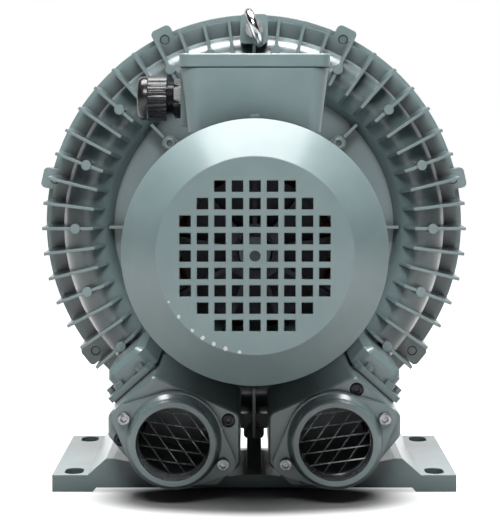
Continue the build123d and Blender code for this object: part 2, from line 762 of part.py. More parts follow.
def make_terminal_box():
    height = box_top_z - box_bottom_z
    slope = degrees(atan2((box_top_w - box_bottom_w) / 2, height))
    with BuildPart() as box:
        with BuildSketch(Plane((0, box_y, box_bottom_z))):
            RectangleRounded(box_bottom_w, box_bottom_w, box_corner_r)
        extrude(amount=height, taper=-slope)
        with BuildSketch(Plane((0, box_y, box_bottom_z + box_floor_t))):
            RectangleRounded(box_bottom_w - 2 * box_wall, box_bottom_w - 2 * box_wall, box_corner_r - box_wall)
        extrude(amount=height - box_floor_t, taper=-slope, mode=Mode.SUBTRACT)
        with Locations((0, box_y, box_bottom_z + box_floor_t)):
            with GridLocations(box_bottom_w - 2 * lid_screw_in, box_bottom_w - 2 * lid_screw_in, 2, 2):
                Cylinder(lid_post_r, height - box_floor_t, align=(Align.CENTER, Align.CENTER, Align.MIN))
        with BuildSketch(Plane(origin=(gland_face_x, box_y, 0), x_dir=(0, 1, 0), z_dir=(1, 0, 0))):
            span(-gland_pad_w / 2, gland_pad_w / 2, box_bottom_z + 4, box_top_z)
        extrude(amount=box_wall + 6)
        with Locations((gland_face_x, box_y, gland_z)):
            Cylinder(gland_thread_r + screw_clearance, 40, rotation=(0, 90, 0), mode=Mode.SUBTRACT)
        with Locations((0, box_y, box_bottom_z)):
            Cylinder(cable_way_r, 20, mode=Mode.SUBTRACT)
        with Locations((0, box_y, box_top_z)):
            with GridLocations(box_bottom_w - 2 * lid_screw_in, box_bottom_w - 2 * lid_screw_in, 2, 2):
                Cylinder(lid_screw_r + screw_clearance, 40, mode=Mode.SUBTRACT)
    save(box, "terminal_box_base")

    with BuildPart() as gasket:
        with BuildSketch(Plane((0, box_y, box_top_z))):
            RectangleRounded(box_top_w - 2, box_top_w - 2, box_corner_r)
            RectangleRounded(box_top_w - 2 * box_wall, box_top_w - 2 * box_wall, box_corner_r - 2,
                             mode=Mode.SUBTRACT)
        extrude(amount=lid_gasket_t)
    save(gasket, "lid_gasket")

    with BuildPart() as lid:
        with BuildSketch(Plane((0, box_y, lid_z))):
            RectangleRounded(lid_w, lid_w, box_corner_r)
        extrude(amount=lid_t)
        chamfer(lid.faces().sort_by(Axis.Z)[-1].edges(), length=lid_edge)
        with BuildSketch(Plane((0, box_y, lid_z))):
            RectangleRounded(lid_w - 2 * box_wall, lid_w - 2 * box_wall, box_corner_r - box_wall)
        extrude(amount=lid_t - box_wall, mode=Mode.SUBTRACT)
        with Locations((0, box_y, lid_z)):
            with GridLocations(box_bottom_w - 2 * lid_screw_in, box_bottom_w - 2 * lid_screw_in, 2, 2):
                Cylinder(lid_post_r, lid_t - 1, align=(Align.CENTER, Align.CENTER, Align.MIN))
                Cylinder(lid_screw_r + screw_clearance, 4 * lid_t, mode=Mode.SUBTRACT)
        with Locations((0, box_y, lid_z + lid_t)):
            with GridLocations(box_bottom_w - 2 * lid_screw_in, box_bottom_w - 2 * lid_screw_in, 2, 2):
                Cylinder(screw_head(lid_screw_r) + 0.5, lid_screw_sink, mode=Mode.SUBTRACT,
                         align=(Align.CENTER, Align.CENTER, Align.MAX))
    save(lid, "terminal_box_lid")

    screw = cap_screw(lid_screw_r, lid_t - lid_screw_sink + lid_gasket_t + 14)
    with BuildPart() as screws:
        with Locations((0, box_y, lid_z + lid_t - lid_screw_sink)):
            with GridLocations(box_bottom_w - 2 * lid_screw_in, box_bottom_w - 2 * lid_screw_in, 2, 2):
                add(screw)
    save(screws, "lid_screws")


def make_terminals():
    board_z = box_bottom_z + box_floor_t
    with BuildPart() as board:
        with Locations((0, box_y + 32 - board_d / 2, board_z)):
            Box(board_w, board_d, board_t, align=(Align.CENTER, Align.CENTER, Align.MIN))
            with GridLocations(stud_pitch, stud_row, 3, 2):
                Cylinder(stud_r, 3 * board_t, mode=Mode.SUBTRACT)
    save(board, "terminal_board")

    with BuildPart() as studs:
        with Locations((0, box_y + 32 - board_d / 2, board_z)):
            with GridLocations(stud_pitch, stud_row, 3, 2):
                Cylinder(stud_r, board_t + 12, align=(Align.CENTER, Align.CENTER, Align.MIN))
    save(studs, "terminal_studs")

    with BuildPart() as links:
        with Locations((0, box_y + 32 - board_d / 2, board_z + board_t)):
            with GridLocations(stud_pitch, stud_row, 3, 1):
                Box(9, stud_row + 9, 1.5, align=(Align.CENTER, Align.CENTER, Align.MIN))
            with GridLocations(stud_pitch, stud_row, 3, 2):
                Cylinder(stud_r, 10, mode=Mode.SUBTRACT)
    save(links, "terminal_links")


def make_gland():
    """Cable gland on the left wall of the box, its bore along X."""
    outward = Plane(origin=(gland_face_x, box_y, gland_z), x_dir=(0, 1, 0), z_dir=(-1, 0, 0))
    neck_end = gland_hex_l + gland_neck_l
    with BuildPart() as body:
        with BuildSketch(outward):
            RegularPolygon(gland_nut_r * 0.98, 6)
        extrude(amount=gland_hex_l)
        with BuildSketch(outward.offset(-12)):
            Circle(gland_thread_r)
        extrude(amount=12)
        with BuildSketch(outward.offset(gland_hex_l)):
            Circle(gland_thread_r + 1)
        extrude(amount=gland_neck_l + 6)
        with Locations(outward):
            Hole(gland_cable_r + 1.5, 60)
    save(body, "gland_body")

    with BuildPart() as seal:
        with BuildSketch(outward.offset(neck_end + 6)):
            Circle(gland_cable_r + 3)
            Circle(gland_cable_r, mode=Mode.SUBTRACT)
        extrude(amount=gland_nut_l - 6)
    save(seal, "gland_seal")

    with BuildPart() as nut:
        with BuildSketch(outward.offset(neck_end)):
            Circle(gland_nut_r)
            with PolarLocations(gland_nut_r, 12):
                Circle(1.8, mode=Mode.SUBTRACT)
        extrude(amount=gland_nut_l)
        with BuildSketch(outward.offset(neck_end + gland_nut_l)):
            Circle(gland_nut_r - 1.6)
        extrude(amount=gland_dome_l, taper=16)
        with BuildSketch(outward.offset(neck_end)):
            Circle(gland_thread_r + 1 + screw_clearance)
        extrude(amount=gland_nut_l, mode=Mode.SUBTRACT)
        with Locations(outward):
            Hole(gland_cable_r, 60)
    save(nut, "gland_nut")

    with BuildPart() as locknut:
        with BuildSketch(Plane(outward.origin + Vector(box_wall + 6, 0, 0), x_dir=(0, 1, 0), z_dir=(1, 0, 0))):
            RegularPolygon(gland_thread_r + 4, 6)
            Circle(gland_thread_r + screw_clearance, mode=Mode.SUBTRACT)
        extrude(amount=4)
    save(locknut, "gland_locknut")


# ---------------------------------------------------------------- silencers
inner_face_y = silencer_back_y - silencer_wall
tube_r = port_bore_r + tube_t


def section_face(y, shrink=0.0):
    """Silencer section on the plane square to the shaft at y."""
    with BuildSketch(facing(y, 0)) as outline:
        with BuildLine():
            Polyline(*section, close=True)
        make_face()
        fillet(outline.vertices(), radius=7)
        if shrink:
            offset(amount=-shrink, mode=Mode.REPLACE)
    return outline.sketch


def boss_spots():
    """Places on the left silencer that take a cover screw on either side of the machine."""
    return cover_spots_left + [(-x, z) for x, z in cover_spots_right]


def boss_face(radius):
    """Round bosses behind the cover, kept inside the silencer's outline."""
    with BuildSketch(facing(silencer_body_y, 0)) as bosses:
        add(section_face(silencer_body_y, silencer_wall / 2))
        with Locations(*boss_spots()):
            Circle(radius, mode=Mode.INTERSECT)
    return bosses.sketch


def both_sides(left, name):
    """Save a piece as the left one and its mirror image as the right one."""
    save(left, f"{name}_left")
    with BuildPart() as right:
        mirror(left.part, about=Plane.YZ)
    save(right, f"{name}_right")


def make_silencers():
    with BuildPart() as housing:
        extrude(section_face(silencer_body_y), amount=silencer_back_y - silencer_body_y, dir=(0, 1, 0))
        extrude(section_face(silencer_body_y, silencer_wall), amount=inner_face_y - silencer_body_y,
                dir=(0, 1, 0), mode=Mode.SUBTRACT)
        extrude(boss_face(plate_boss_r), amount=plate_boss_l, dir=(0, 1, 0))
        with BuildSketch(facing(silencer_body_y, 0)):
            with Locations(*boss_spots()):
                Circle(plate_screw_r + screw_clearance)
        extrude(amount=-plate_boss_l + 4, mode=Mode.SUBTRACT)
        with BuildSketch(neck_plane(0)):
            span(neck_duct_u[0] + neck_wall, slant_length / 2 - 5, neck_front_y + neck_wall, silencer_back_y - 12)
        extrude(amount=-silencer_wall - 3, mode=Mode.SUBTRACT)
        with BuildSketch(neck_plane(0)):
            with Locations(*neck_bolt_spots):
                Circle(neck_bolt_r + screw_clearance)
        extrude(amount=-silencer_wall, mode=Mode.SUBTRACT)
        with BuildSketch(Plane.XY.offset(silencer_bottom_z)):
            with Locations(*foot_screw_spots):
                Circle(neck_bolt_r + screw_clearance)
        extrude(amount=silencer_wall, mode=Mode.SUBTRACT)
    both_sides(housing, "silencer_housing")

    with BuildPart() as tube:
        with BuildSketch(facing(silencer_body_y, port_z, -port_x)):
            Circle(tube_r)
            Circle(port_bore_r, mode=Mode.SUBTRACT)
        extrude(amount=-(inner_face_y - silencer_body_y))
        for middle in (silencer_body_y + 30, silencer_body_y + 84):
            with Locations((-port_x, middle, port_z)):
                with PolarLocations(0, 3):
                    Box(2 * tube_r + 4, 40, 14, mode=Mode.SUBTRACT)
    both_sides(tube, "silencer_tube")

    with BuildPart() as foam:
        extrude(section_face(silencer_body_y, silencer_wall + 0.1), amount=neck_front_y - silencer_body_y,
                dir=(0, 1, 0))
        with BuildSketch(facing(silencer_body_y, port_z, -port_x)):
            Circle(tube_r)
        extrude(amount=-(neck_front_y - silencer_body_y), mode=Mode.SUBTRACT)
        with BuildSketch(facing(silencer_body_y, 0)):
            with Locations(*boss_spots()):
                Circle(plate_boss_r + 0.2)
        extrude(amount=-plate_boss_l - 0.2, mode=Mode.SUBTRACT)
    both_sides(foam, "silencer_foam")


def make_silencer_cover(side, spots):
    with BuildPart() as cover:
        extrude(section_face(silencer_front_y), amount=silencer_cover_t, dir=(0, 1, 0))
        chamfer(cover.faces().sort_by(Axis.Y)[0].edges(), length=1.5)
        with Locations(facing(silencer_front_y, port_z, -port_x)):
            Hole(port_bore_r, silencer_cover_t + 2)
        with BuildSketch(facing(silencer_front_y, 0)):
            with Locations(*port_screw_spots(-1)):
                Circle(plate_screw_r + screw_clearance)
        extrude(amount=-silencer_cover_t, mode=Mode.SUBTRACT)
    with BuildPart() as sided:
        if side == "left":
            add(cover.part)
        else:
            mirror(cover.part, about=Plane.YZ)
        with BuildSketch(facing(silencer_front_y, 0)):
            with Locations(*spots):
                Circle(plate_screw_r + screw_clearance)
        extrude(amount=-silencer_cover_t, mode=Mode.SUBTRACT)
        with BuildSketch(facing(silencer_front_y, 0)):
            with Locations(*spots):
                Circle(screw_head(plate_screw_r) + 0.7)
        extrude(amount=-plate_head_depth, mode=Mode.SUBTRACT)
    save(sided, f"silencer_cover_{side}")


def port_screw_spots(side):
    """Centres of a port flange's two screws, for the left (-1) or the right (1) port."""
    reach_x = port_screw_pitch / 2 * cos(radians(port_tilt))
    reach_z = port_screw_pitch / 2 * sin(radians(port_tilt))
    return [(side * (port_x + reach_x), port_z + reach_z), (side * (port_x - reach_x), port_z - reach_z)]


def port_outline(y, side, hole_r):
    """Oval outline of a port flange, its round middle joined to two screw ears."""
    with BuildSketch(facing(y, 0)) as outline:
        with Locations((side * port_x, port_z)):
            Circle(port_flange_r)
        with Locations(*port_screw_spots(side)):
            Circle(port_ear_r)
        make_hull()
        with Locations((side * port_x, port_z)):
            Circle(hole_r, mode=Mode.SUBTRACT)
        with Locations(*port_screw_spots(side)):
            Circle(plate_screw_r + screw_clearance, mode=Mode.SUBTRACT)
    return outline.sketch


def make_ports():
    with BuildPart() as flange:
        extrude(port_outline(collar_y, -1, port_bore_r), amount=port_flange_t, dir=(0, 1, 0))
        with BuildSketch(facing(collar_y, port_z, -port_x)):
            Circle(port_collar_base_r)
        with BuildSketch(facing(collar_y - 4, port_z, -port_x)):
            Circle(port_collar_r)
        loft()
        with BuildSketch(facing(collar_y - 4, port_z, -port_x)):
            Circle(port_collar_r)
        extrude(amount=port_collar_l - 4)
        chamfer(flange.edges().filter_by(GeomType.CIRCLE).group_by(Axis.Y)[0], length=1.5)
        with BuildSketch(facing(collar_y - port_collar_l, port_z, -port_x)):
            Circle(port_bore_r)
        extrude(amount=-(port_collar_l + port_flange_t), mode=Mode.SUBTRACT)
        with BuildSketch(facing(collar_y + port_flange_t, port_z, -port_x)):
            Circle(mesh_r + 0.1)
        extrude(amount=mesh_t, mode=Mode.SUBTRACT)
        with BuildSketch(facing(collar_y, 0)):
            with Locations(*port_screw_spots(-1)):
                Circle(plate_screw_r + screw_clearance)
        extrude(amount=-port_flange_t, mode=Mode.SUBTRACT)
    both_sides(flange, "port_flange")

    with BuildPart() as gaskets:
        for side in (-1, 1):
            extrude(port_outline(collar_y + port_flange_t, side, port_bore_r + 0.4), amount=port_gasket_t,
                    dir=(0, 1, 0))
    save(gaskets, "port_gaskets")

    with BuildPart() as mesh:
        with BuildSketch(facing(collar_y + port_flange_t, port_z, -port_x)):
            Circle(mesh_r)
            Circle(port_bore_r - 0.6, mode=Mode.SUBTRACT)
        extrude(amount=mesh_t)
        with BuildSketch(facing(collar_y + port_flange_t, port_z, -port_x)):
            for angle in mesh_angles:
                with Locations(Location((0, 0, 0), (0, 0, angle))):
                    with GridLocations(mesh_pitch, mesh_pitch, 1, 6):
                        Rectangle(2 * mesh_r, mesh_wire)
            Circle(mesh_r - 0.5, mode=Mode.INTERSECT)
        extrude(amount=mesh_t)
    both_sides(mesh, "guard_mesh")

    port_screw = cap_screw(plate_screw_r, port_flange_t + port_gasket_t + silencer_cover_t - 1)
    with BuildPart() as screws:
        with Locations(facing(collar_y, 0)):
            with Locations(*port_screw_spots(-1), *port_screw_spots(1)):
                add(port_screw)
    save(screws, "port_screws")

    plate_screw = cap_screw(plate_screw_r, silencer_cover_t - plate_head_depth + plate_boss_l - 6)
    with BuildPart() as plate_screws:
        with Locations(facing(silencer_front_y + plate_head_depth, 0)):
            with Locations(*cover_spots_left, *cover_spots_right):
                add(plate_screw)
    save(plate_screws, "silencer_cover_screws")


def make_neck_fittings():
    with BuildPart() as gasket:
        with BuildSketch(neck_plane(0)):
            span(neck_flange_u[0] + 3, neck_flange_u[1], *neck_flange_y)
            span(neck_duct_u[0] + neck_wall, slant_length / 2 - 5, neck_front_y + neck_wall,
                 silencer_back_y - 12, mode=Mode.SUBTRACT)
            with Locations(*neck_bolt_spots):
                Circle(neck_bolt_r + screw_clearance, mode=Mode.SUBTRACT)
        extrude(amount=neck_gasket_t)
    with BuildPart() as gaskets:
        add(gasket.part)
        mirror(gasket.part, about=Plane.YZ)
    save(gaskets, "neck_gaskets")

    screw = cap_screw(neck_bolt_r, neck_flange_t + neck_gasket_t + silencer_wall)
    with BuildPart() as left_screws:
        with Locations(neck_plane(neck_gasket_t + neck_flange_t)):
            with Locations(*neck_bolt_spots):
                add(screw)
    with BuildPart() as screws:
        add(left_screws.part)
        mirror(left_screws.part, about=Plane.YZ)
    save(screws, "neck_screws")


# ---------------------------------------------------------------- foot


def make_foot_frame():
    half = [(-foot_inner_x, foot_pad_t), (-118.0, foot_crest_z), (-112.0, foot_crest_z), (-92.6, 23.0),
            (-63.0, silencer_bottom_z), (-27.0, silencer_bottom_z), (-9.0, 14.0)]
    top = half + [(-x, z) for x, z in reversed(half)]
    with BuildPart() as foot:
        # front wall, deck and rear wall of the bridge that carries the silencers
        with BuildSketch(facing(foot_front_y, 0)):
            with BuildLine():
                Polyline((-foot_inner_x, 0), *top, (foot_inner_x, 0), (foot_inner_x - 4, foot_relief),
                         (-foot_inner_x + 4, foot_relief), close=True)
            make_face()
        extrude(amount=-(foot_web_back_y - foot_front_y))
        with BuildSketch(facing(foot_front_y + foot_wall, 0)):
            with BuildLine():
                Polyline((-foot_inner_x + 12, 0), (-116.0, foot_crest_z - foot_wall + 1),
                         (-100.0, foot_crest_z - foot_wall - 5), (-63.0, silencer_bottom_z - foot_deck_t),
                         (63.0, silencer_bottom_z - foot_deck_t), (100.0, foot_crest_z - foot_wall - 5),
                         (116.0, foot_crest_z - foot_wall + 1), (foot_inner_x - 12, 0), close=True)
            make_face()
        extrude(amount=-(foot_web_back_y - foot_front_y - 2 * foot_wall), mode=Mode.SUBTRACT)
        # pads, with the side ribs that carry on behind the bridge
        for side in (-1, 1):
            with BuildSketch(facing(foot_front_y, 0)):
                with BuildLine():
                    Polyline((side * foot_half_w, 0), (side * foot_half_w, foot_pad_t),
                             (side * foot_inner_x, foot_pad_t), (side * 118, foot_crest_z),
                             (side * 112, foot_crest_z), (side * 112, foot_relief + foot_wall),
                             (side * (foot_inner_x - 7), foot_relief), (side * (foot_inner_x - 4), 0), close=True)
                make_face()
            extrude(amount=-(foot_back_y - foot_front_y))
        with BuildSketch(facing(130, 0)):
            span(-114, 114, foot_relief, foot_relief + 5.5)
        extrude(amount=foot_wall + 3)
        # upright under the lowest casing fin
        with BuildSketch(Plane(origin=(-upright_w / 2, 0, 0), x_dir=(0, 1, 0), z_dir=(1, 0, 0))):
            with BuildLine():
                Polyline((foot_front_y + 2, foot_relief + 3), (foot_front_y + 2, 13.0), (60.0, 17.0),
                         (fin_front_y - 3, axis_z - fin_tip_r), (flange_y, axis_z - fin_tip_r),
                         (flange_y, foot_relief + 3), close=True)
            make_face()
        extrude(amount=upright_w)
        with BuildSketch(facing(fin_front_y - 5)):
            Circle(fin_tip_r)
        extrude(amount=-80, mode=Mode.SUBTRACT)
        slots = [(side * slot_x, y) for side in (-1, 1) for y in (slot_front_y, slot_front_y + slot_pitch_y)]
        with BuildSketch(Plane.XY):
            with Locations(*slots):
                SlotOverall(slot_l, slot_w, rotation=90)
        extrude(amount=foot_pad_t, mode=Mode.SUBTRACT)
        with BuildSketch(Plane.XY):
            with Locations(*foot_screw_spots, *[(-x, y) for x, y in foot_screw_spots]):
                Circle(neck_bolt_r + screw_clearance)
        extrude(amount=silencer_bottom_z + 1, mode=Mode.SUBTRACT)
    save(foot, "foot_frame")

    screw = cap_screw(neck_bolt_r, foot_deck_t + silencer_wall)
    with BuildPart() as screws:
        with Locations(Plane(origin=(0, 0, silencer_bottom_z - foot_deck_t), x_dir=(1, 0, 0), z_dir=(0, 0, -1))):
            with Locations(*[(x, -y) for x, y in foot_screw_spots], *[(-x, -y) for x, y in foot_screw_spots]):
                add(screw)
    save(screws, "foot_screws")


# ---------------------------------------------------------------- lifting eye
def make_lifting_eye():
    """Ring bolt on the front of the casing's top block, its ring leaning from upright."""
    seat = facing(fin_front_y - 4, eye_block_z + eye_block_h / 2)
    ring_y = fin_front_y - 4 - eye_collar_t - eye_ring_r - eye_wire_r / 2
    with BuildPart() as eye:
        with BuildSketch(seat):
            Circle(eye_collar_r)
        extrude(amount=eye_collar_t)
        with BuildSketch(seat):
            Circle(cover_screw_r)
        extrude(amount=-15)
        lean = Plane(origin=(0, ring_y, eye_block_z + eye_block_h / 2), x_dir=(0, 1, 0),
                     z_dir=(cos(radians(eye_lean)), 0, sin(radians(eye_lean))))
        with Locations(lean):
            Torus(eye_ring_r, eye_wire_r)
    save(eye, "lifting_eye")


if __name__ == "__main__":
    os.makedirs("parts", exist_ok=True)
    make_blower_casing()
    make_casing_cover()
    make_cover_screws()
    make_impeller()
    make_rotor()
    make_cooling_fan()
    make_bearings()
    make_motor_housing()
    make_stator()
    make_end_shield()
    make_fan_cowl()
    make_terminal_box()
    make_terminals()
    make_gland()
    make_silencers()
    make_silencer_cover("left", cover_spots_left)
    make_silencer_cover("right", cover_spots_right)
    make_ports()
    make_neck_fittings()
    make_foot_frame()
    make_lifting_eye()
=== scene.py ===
# %% [markdown]
# # A side channel blower
# A side channel blower moves air with a bladed disc that spins in a ring-shaped channel. An electric
# motor in front drives it, and two silencers below carry the ports. The solids come from the CAD
# source. This lesson gives them their finishes and adds what is too fine for solids: the expanded
# metal in the ports, the threads, the sockets of the screws and the flutes of the cable gland.

import json
import math

import bmesh
import bpy
from mathutils import Matrix, Vector


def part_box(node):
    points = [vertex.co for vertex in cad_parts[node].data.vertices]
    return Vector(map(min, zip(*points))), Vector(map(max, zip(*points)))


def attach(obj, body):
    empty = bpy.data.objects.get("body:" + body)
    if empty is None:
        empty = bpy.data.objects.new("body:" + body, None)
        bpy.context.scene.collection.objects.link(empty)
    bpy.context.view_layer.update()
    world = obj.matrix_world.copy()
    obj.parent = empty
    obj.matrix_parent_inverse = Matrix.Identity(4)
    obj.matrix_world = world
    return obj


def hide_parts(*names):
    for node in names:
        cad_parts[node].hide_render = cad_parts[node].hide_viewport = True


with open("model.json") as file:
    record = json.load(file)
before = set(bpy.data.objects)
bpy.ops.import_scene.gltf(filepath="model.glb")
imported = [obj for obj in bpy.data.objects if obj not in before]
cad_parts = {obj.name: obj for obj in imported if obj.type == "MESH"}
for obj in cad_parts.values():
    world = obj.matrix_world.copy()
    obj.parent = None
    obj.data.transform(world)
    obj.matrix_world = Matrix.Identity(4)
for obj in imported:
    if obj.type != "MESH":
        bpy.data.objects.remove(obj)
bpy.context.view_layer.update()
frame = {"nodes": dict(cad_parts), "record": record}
nodes = frame["nodes"]

# %% [markdown]
# ## The camera
# A product like this is shot from the front with a long lens, a little above the shaft, so that the
# round casing stays round. The camera could be aimed with a constraint, but a plain place and tilt
# are easier to read and never move by themselves.

# %% Set up the camera
MM = 0.001
sensor_mm = 36.0
image_high_px = 530
focal_px = 1757.5
camera_tilt = 0.0852

camera_data = bpy.data.cameras.new("front_camera")
camera_data.sensor_fit = "VERTICAL"
camera_data.sensor_height = sensor_mm
camera_data.lens = focal_px * sensor_mm / image_high_px
camera = bpy.data.objects.new("front_camera", camera_data)
camera.location = (-3.4 * MM, -1389.7 * MM, 299.8 * MM)
camera.rotation_euler = (math.pi / 2 - camera_tilt, 0, 0)
bpy.context.collection.objects.link(camera)
bpy.context.scene.camera = camera
print("lens in mm:", round(camera_data.lens, 2))

# %% [markdown]
# ## Small helpers
# Every finish below is a Principled shader with a little noise in its colour, its roughness and its
# surface. The noise is read in object coordinates. The objects all sit at the origin in metres, so
# one noise scale means the same grain size on every piece.


# %% Start a material, and nodes that work on numbers
def new_finish(name, color, metallic=0.0, roughness=0.4):
    """A material with one Principled shader. Returns the material, its nodes, links and shader."""
    material = bpy.data.materials.new(name)
    material.use_nodes = True
    tree = material.node_tree
    shader = tree.nodes["Principled BSDF"]
    shader.inputs["Base Color"].default_value = (*color, 1)
    shader.inputs["Metallic"].default_value = metallic
    shader.inputs["Roughness"].default_value = roughness
    return material, tree.nodes, tree.links, shader


def math_node(tree_nodes, links, operation, first, second):
    """One sum or product of two sockets or numbers."""
    node = tree_nodes.new("ShaderNodeMath")
    node.operation = operation
    for socket, value in zip(node.inputs, (first, second)):
        if isinstance(value, bpy.types.NodeSocket):
            links.new(value, socket)
        else:
            socket.default_value = value
    return node.outputs["Value"]


def map_range(tree_nodes, links, value, start, end, low=0.0, high=1.0):
    """Moves a value from the range start to end into the range low to high."""
    spread = tree_nodes.new("ShaderNodeMapRange")
    for name, number in (("From Min", start), ("From Max", end), ("To Min", low), ("To Max", high)):
        spread.inputs[name].default_value = number
    links.new(value, spread.inputs["Value"])
    return spread


print("helpers for materials ready")


# %% Noise, and what it can move
patch_low, patch_high = 0.35, 0.65


def object_noise(tree_nodes, links, grain_mm, detail=3.0, stretch=(1, 1, 1)):
    """Noise whose grains are about grain_mm across."""
    place = tree_nodes.new("ShaderNodeTexCoord")
    scale = tree_nodes.new("ShaderNodeMapping")
    scale.inputs["Scale"].default_value = stretch
    noise = tree_nodes.new("ShaderNodeTexNoise")
    noise.inputs["Scale"].default_value = 1.0 / (grain_mm * MM)
    noise.inputs["Detail"].default_value = detail
    links.new(place.outputs["Object"], scale.inputs["Vector"])
    links.new(scale.outputs["Vector"], noise.inputs["Vector"])
    return noise


def vary_color(tree_nodes, links, shader, noise, dark, light):
    """Lets the noise move the colour between dark and light."""
    ramp = tree_nodes.new("ShaderNodeValToRGB")
    ramp.color_ramp.elements[0].position = patch_low
    ramp.color_ramp.elements[1].position = patch_high
    ramp.color_ramp.elements[0].color = (*dark, 1)
    ramp.color_ramp.elements[1].color = (*light, 1)
    links.new(noise.outputs["Fac"], ramp.inputs["Fac"])
    links.new(ramp.outputs["Color"], shader.inputs["Base Color"])


def vary_roughness(tree_nodes, links, shader, noise, low, high):
    """Lets the noise move the roughness between low and high."""
    spread = map_range(tree_nodes, links, noise.outputs["Fac"], 0.0, 1.0, low, high)
    links.new(spread.outputs["Result"], shader.inputs["Roughness"])


def raise_surface(tree_nodes, links, shader, noise, height_mm, strength=1.0):
    """Lets the noise lift the surface by about height_mm, for the light only."""
    bump = tree_nodes.new("ShaderNodeBump")
    bump.inputs["Distance"].default_value = height_mm * MM
    bump.inputs["Strength"].default_value = strength
    links.new(noise.outputs["Fac"], bump.inputs["Height"])
    links.new(bump.outputs["Normal"], shader.inputs["Normal"])
    return bump


print("helpers for noise ready, colour moves between", patch_low, "and", patch_high)

# %% [markdown]
# ## The enamel
# The whole machine is sprayed in one grey-green enamel. On the castings the paint lies over the
# slightly rough skin of cast aluminium, on the pressed cowl and the terminal box it is smooth with a
# faint orange peel. Two materials with the same colour keep the two skins apart. The colour could be
# one flat value, but an ambient occlusion node darkens it in deep gaps, which is painted shade, and a
# bevel node rounds the edges for the light. The shader's coat layer stands for the glossy resin at the
# paint's surface.

# %% Paint for castings and for sheet metal
enamel = (0.190, 0.262, 0.268)
enamel_light = (0.225, 0.300, 0.306)
enamel_patch_mm = 45.0
coat_roughness = 0.20
gap_reach_mm = 36.0
# painted shade: the deepest gaps keep only this share of the paint colour
deepest_painted_shade = 0.08
gap_closed, gap_open = 0.10, 0.65
shading_samples = 4


def soften_edges(tree_nodes, links, bump, radius_mm):
    """Paint rounds every edge a little: the light sees a small radius that the solid doesn't have."""
    edge = tree_nodes.new("ShaderNodeBevel")
    edge.samples = shading_samples
    edge.inputs["Radius"].default_value = radius_mm * MM
    links.new(edge.outputs["Normal"], bump.inputs["Normal"])


def paint_shade_in_gaps(tree_nodes, links, shader, reach_mm, deepest):
    """Painted shade: the colour is darker in deep gaps, as far as an ambient occlusion node finds them.
    """
    closeness = tree_nodes.new("ShaderNodeAmbientOcclusion")
    closeness.samples = shading_samples
    closeness.inputs["Distance"].default_value = reach_mm * MM
    depth = map_range(tree_nodes, links, closeness.outputs["AO"], gap_closed, gap_open, deepest)
    shaded = tree_nodes.new("ShaderNodeVectorMath")
    shaded.operation = "SCALE"
    links.new(shader.inputs["Base Color"].links[0].from_socket, shaded.inputs[0])
    links.new(depth.outputs["Result"], shaded.inputs["Scale"])
    links.new(shaded.outputs["Vector"], shader.inputs["Base Color"])


def enamel_finish(name, grain_mm, lift_mm, roughness, edge_mm, coat):
    """Glossy paint: patches of tone, painted shade in deep gaps, a skin of small grains and a clear top
    coat.
    """
    material, tree_nodes, links, shader = new_finish(name, enamel, roughness=roughness)
    shader.inputs["Coat Weight"].default_value = coat
    shader.inputs["Coat Roughness"].default_value = coat_roughness
    patches = object_noise(tree_nodes, links, enamel_patch_mm)
    vary_color(tree_nodes, links, shader, patches, enamel, enamel_light)
    paint_shade_in_gaps(tree_nodes, links, shader, gap_reach_mm, deepest_painted_shade)
    skin = object_noise(tree_nodes, links, grain_mm, detail=5.0)
    vary_roughness(tree_nodes, links, shader, skin, roughness - 0.06, roughness + 0.08)
    bump = raise_surface(tree_nodes, links, shader, skin, lift_mm)
    soften_edges(tree_nodes, links, bump, edge_mm)
    return material


cast_paint = enamel_finish("cast_paint", 2.2, 0.08, 0.34, 1.0, 0.90)
sheet_paint = enamel_finish("sheet_paint", 1.6, 0.02, 0.44, 1.6, 0.35)
print("enamel:", cast_paint.name, sheet_paint.name)

# %% [markdown]
# ## The cowl's chipped edge
# Where the flat face of the pressed cowl turns into its bevel the paint is thin, and knocks have
# chipped it down to the pale primer at the lower left. A painted image could show this, but a few
# spots are easy to compute: each chip is given by its angle in degrees from straight down and its
# radius in mm, and a fine noise frays its outline.

# %% Chips along the edge of the cowl's face
chip_ring_r = 66.6
chips = [(62, 0.8), (51.5, 1.3), (40, 1.3), (32.5, 1.5), (25, 1.6), (17.5, 1.5), (9, 1.2)]
chip_fray_mm = 0.9
chip_grain_mm = 1.2
primer = (0.66, 0.69, 0.67)


def cowl_finish():
    """The sheet paint with the chips laid over its colour."""
    material = sheet_paint.copy()
    material.name = "cowl_paint"
    tree_nodes, links = material.node_tree.nodes, material.node_tree.links
    shader = tree_nodes["Principled BSDF"]
    low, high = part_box("fan_cowl")
    place = tree_nodes.new("ShaderNodeTexCoord")
    fray = object_noise(tree_nodes, links, chip_grain_mm, detail=2.0)
    frayed = tree_nodes.new("ShaderNodeMath")
    frayed.operation = "MULTIPLY_ADD"
    frayed.inputs[1].default_value = chip_fray_mm * MM * 2
    frayed.inputs[2].default_value = -chip_fray_mm * MM
    links.new(fray.outputs["Fac"], frayed.inputs[0])
    chipped = None
    for angle, spot_r in chips:
        turn = math.radians(angle)
        middle = ((low.x + high.x) / 2 - chip_ring_r * MM * math.sin(turn), low.y,
                  (low.z + high.z) / 2 - chip_ring_r * MM * math.cos(turn))
        away = tree_nodes.new("ShaderNodeVectorMath")
        away.operation = "DISTANCE"
        away.inputs[1].default_value = middle
        links.new(place.outputs["Object"], away.inputs[0])
        rough_away = math_node(tree_nodes, links, "ADD", away.outputs["Value"], frayed.outputs["Value"])
        inside = math_node(tree_nodes, links, "LESS_THAN", rough_away, spot_r * MM)
        chipped = inside if chipped is None else math_node(tree_nodes, links, "MAXIMUM", chipped, inside)
    mix = tree_nodes.new("ShaderNodeMix")
    mix.data_type = "RGBA"
    paint_color = shader.inputs["Base Color"].links[0].from_socket
    links.new(chipped, mix.inputs[0])
    links.new(paint_color, mix.inputs[6])
    mix.inputs[7].default_value = (*primer, 1)
    links.new(mix.outputs[2], shader.inputs["Base Color"])
    return material


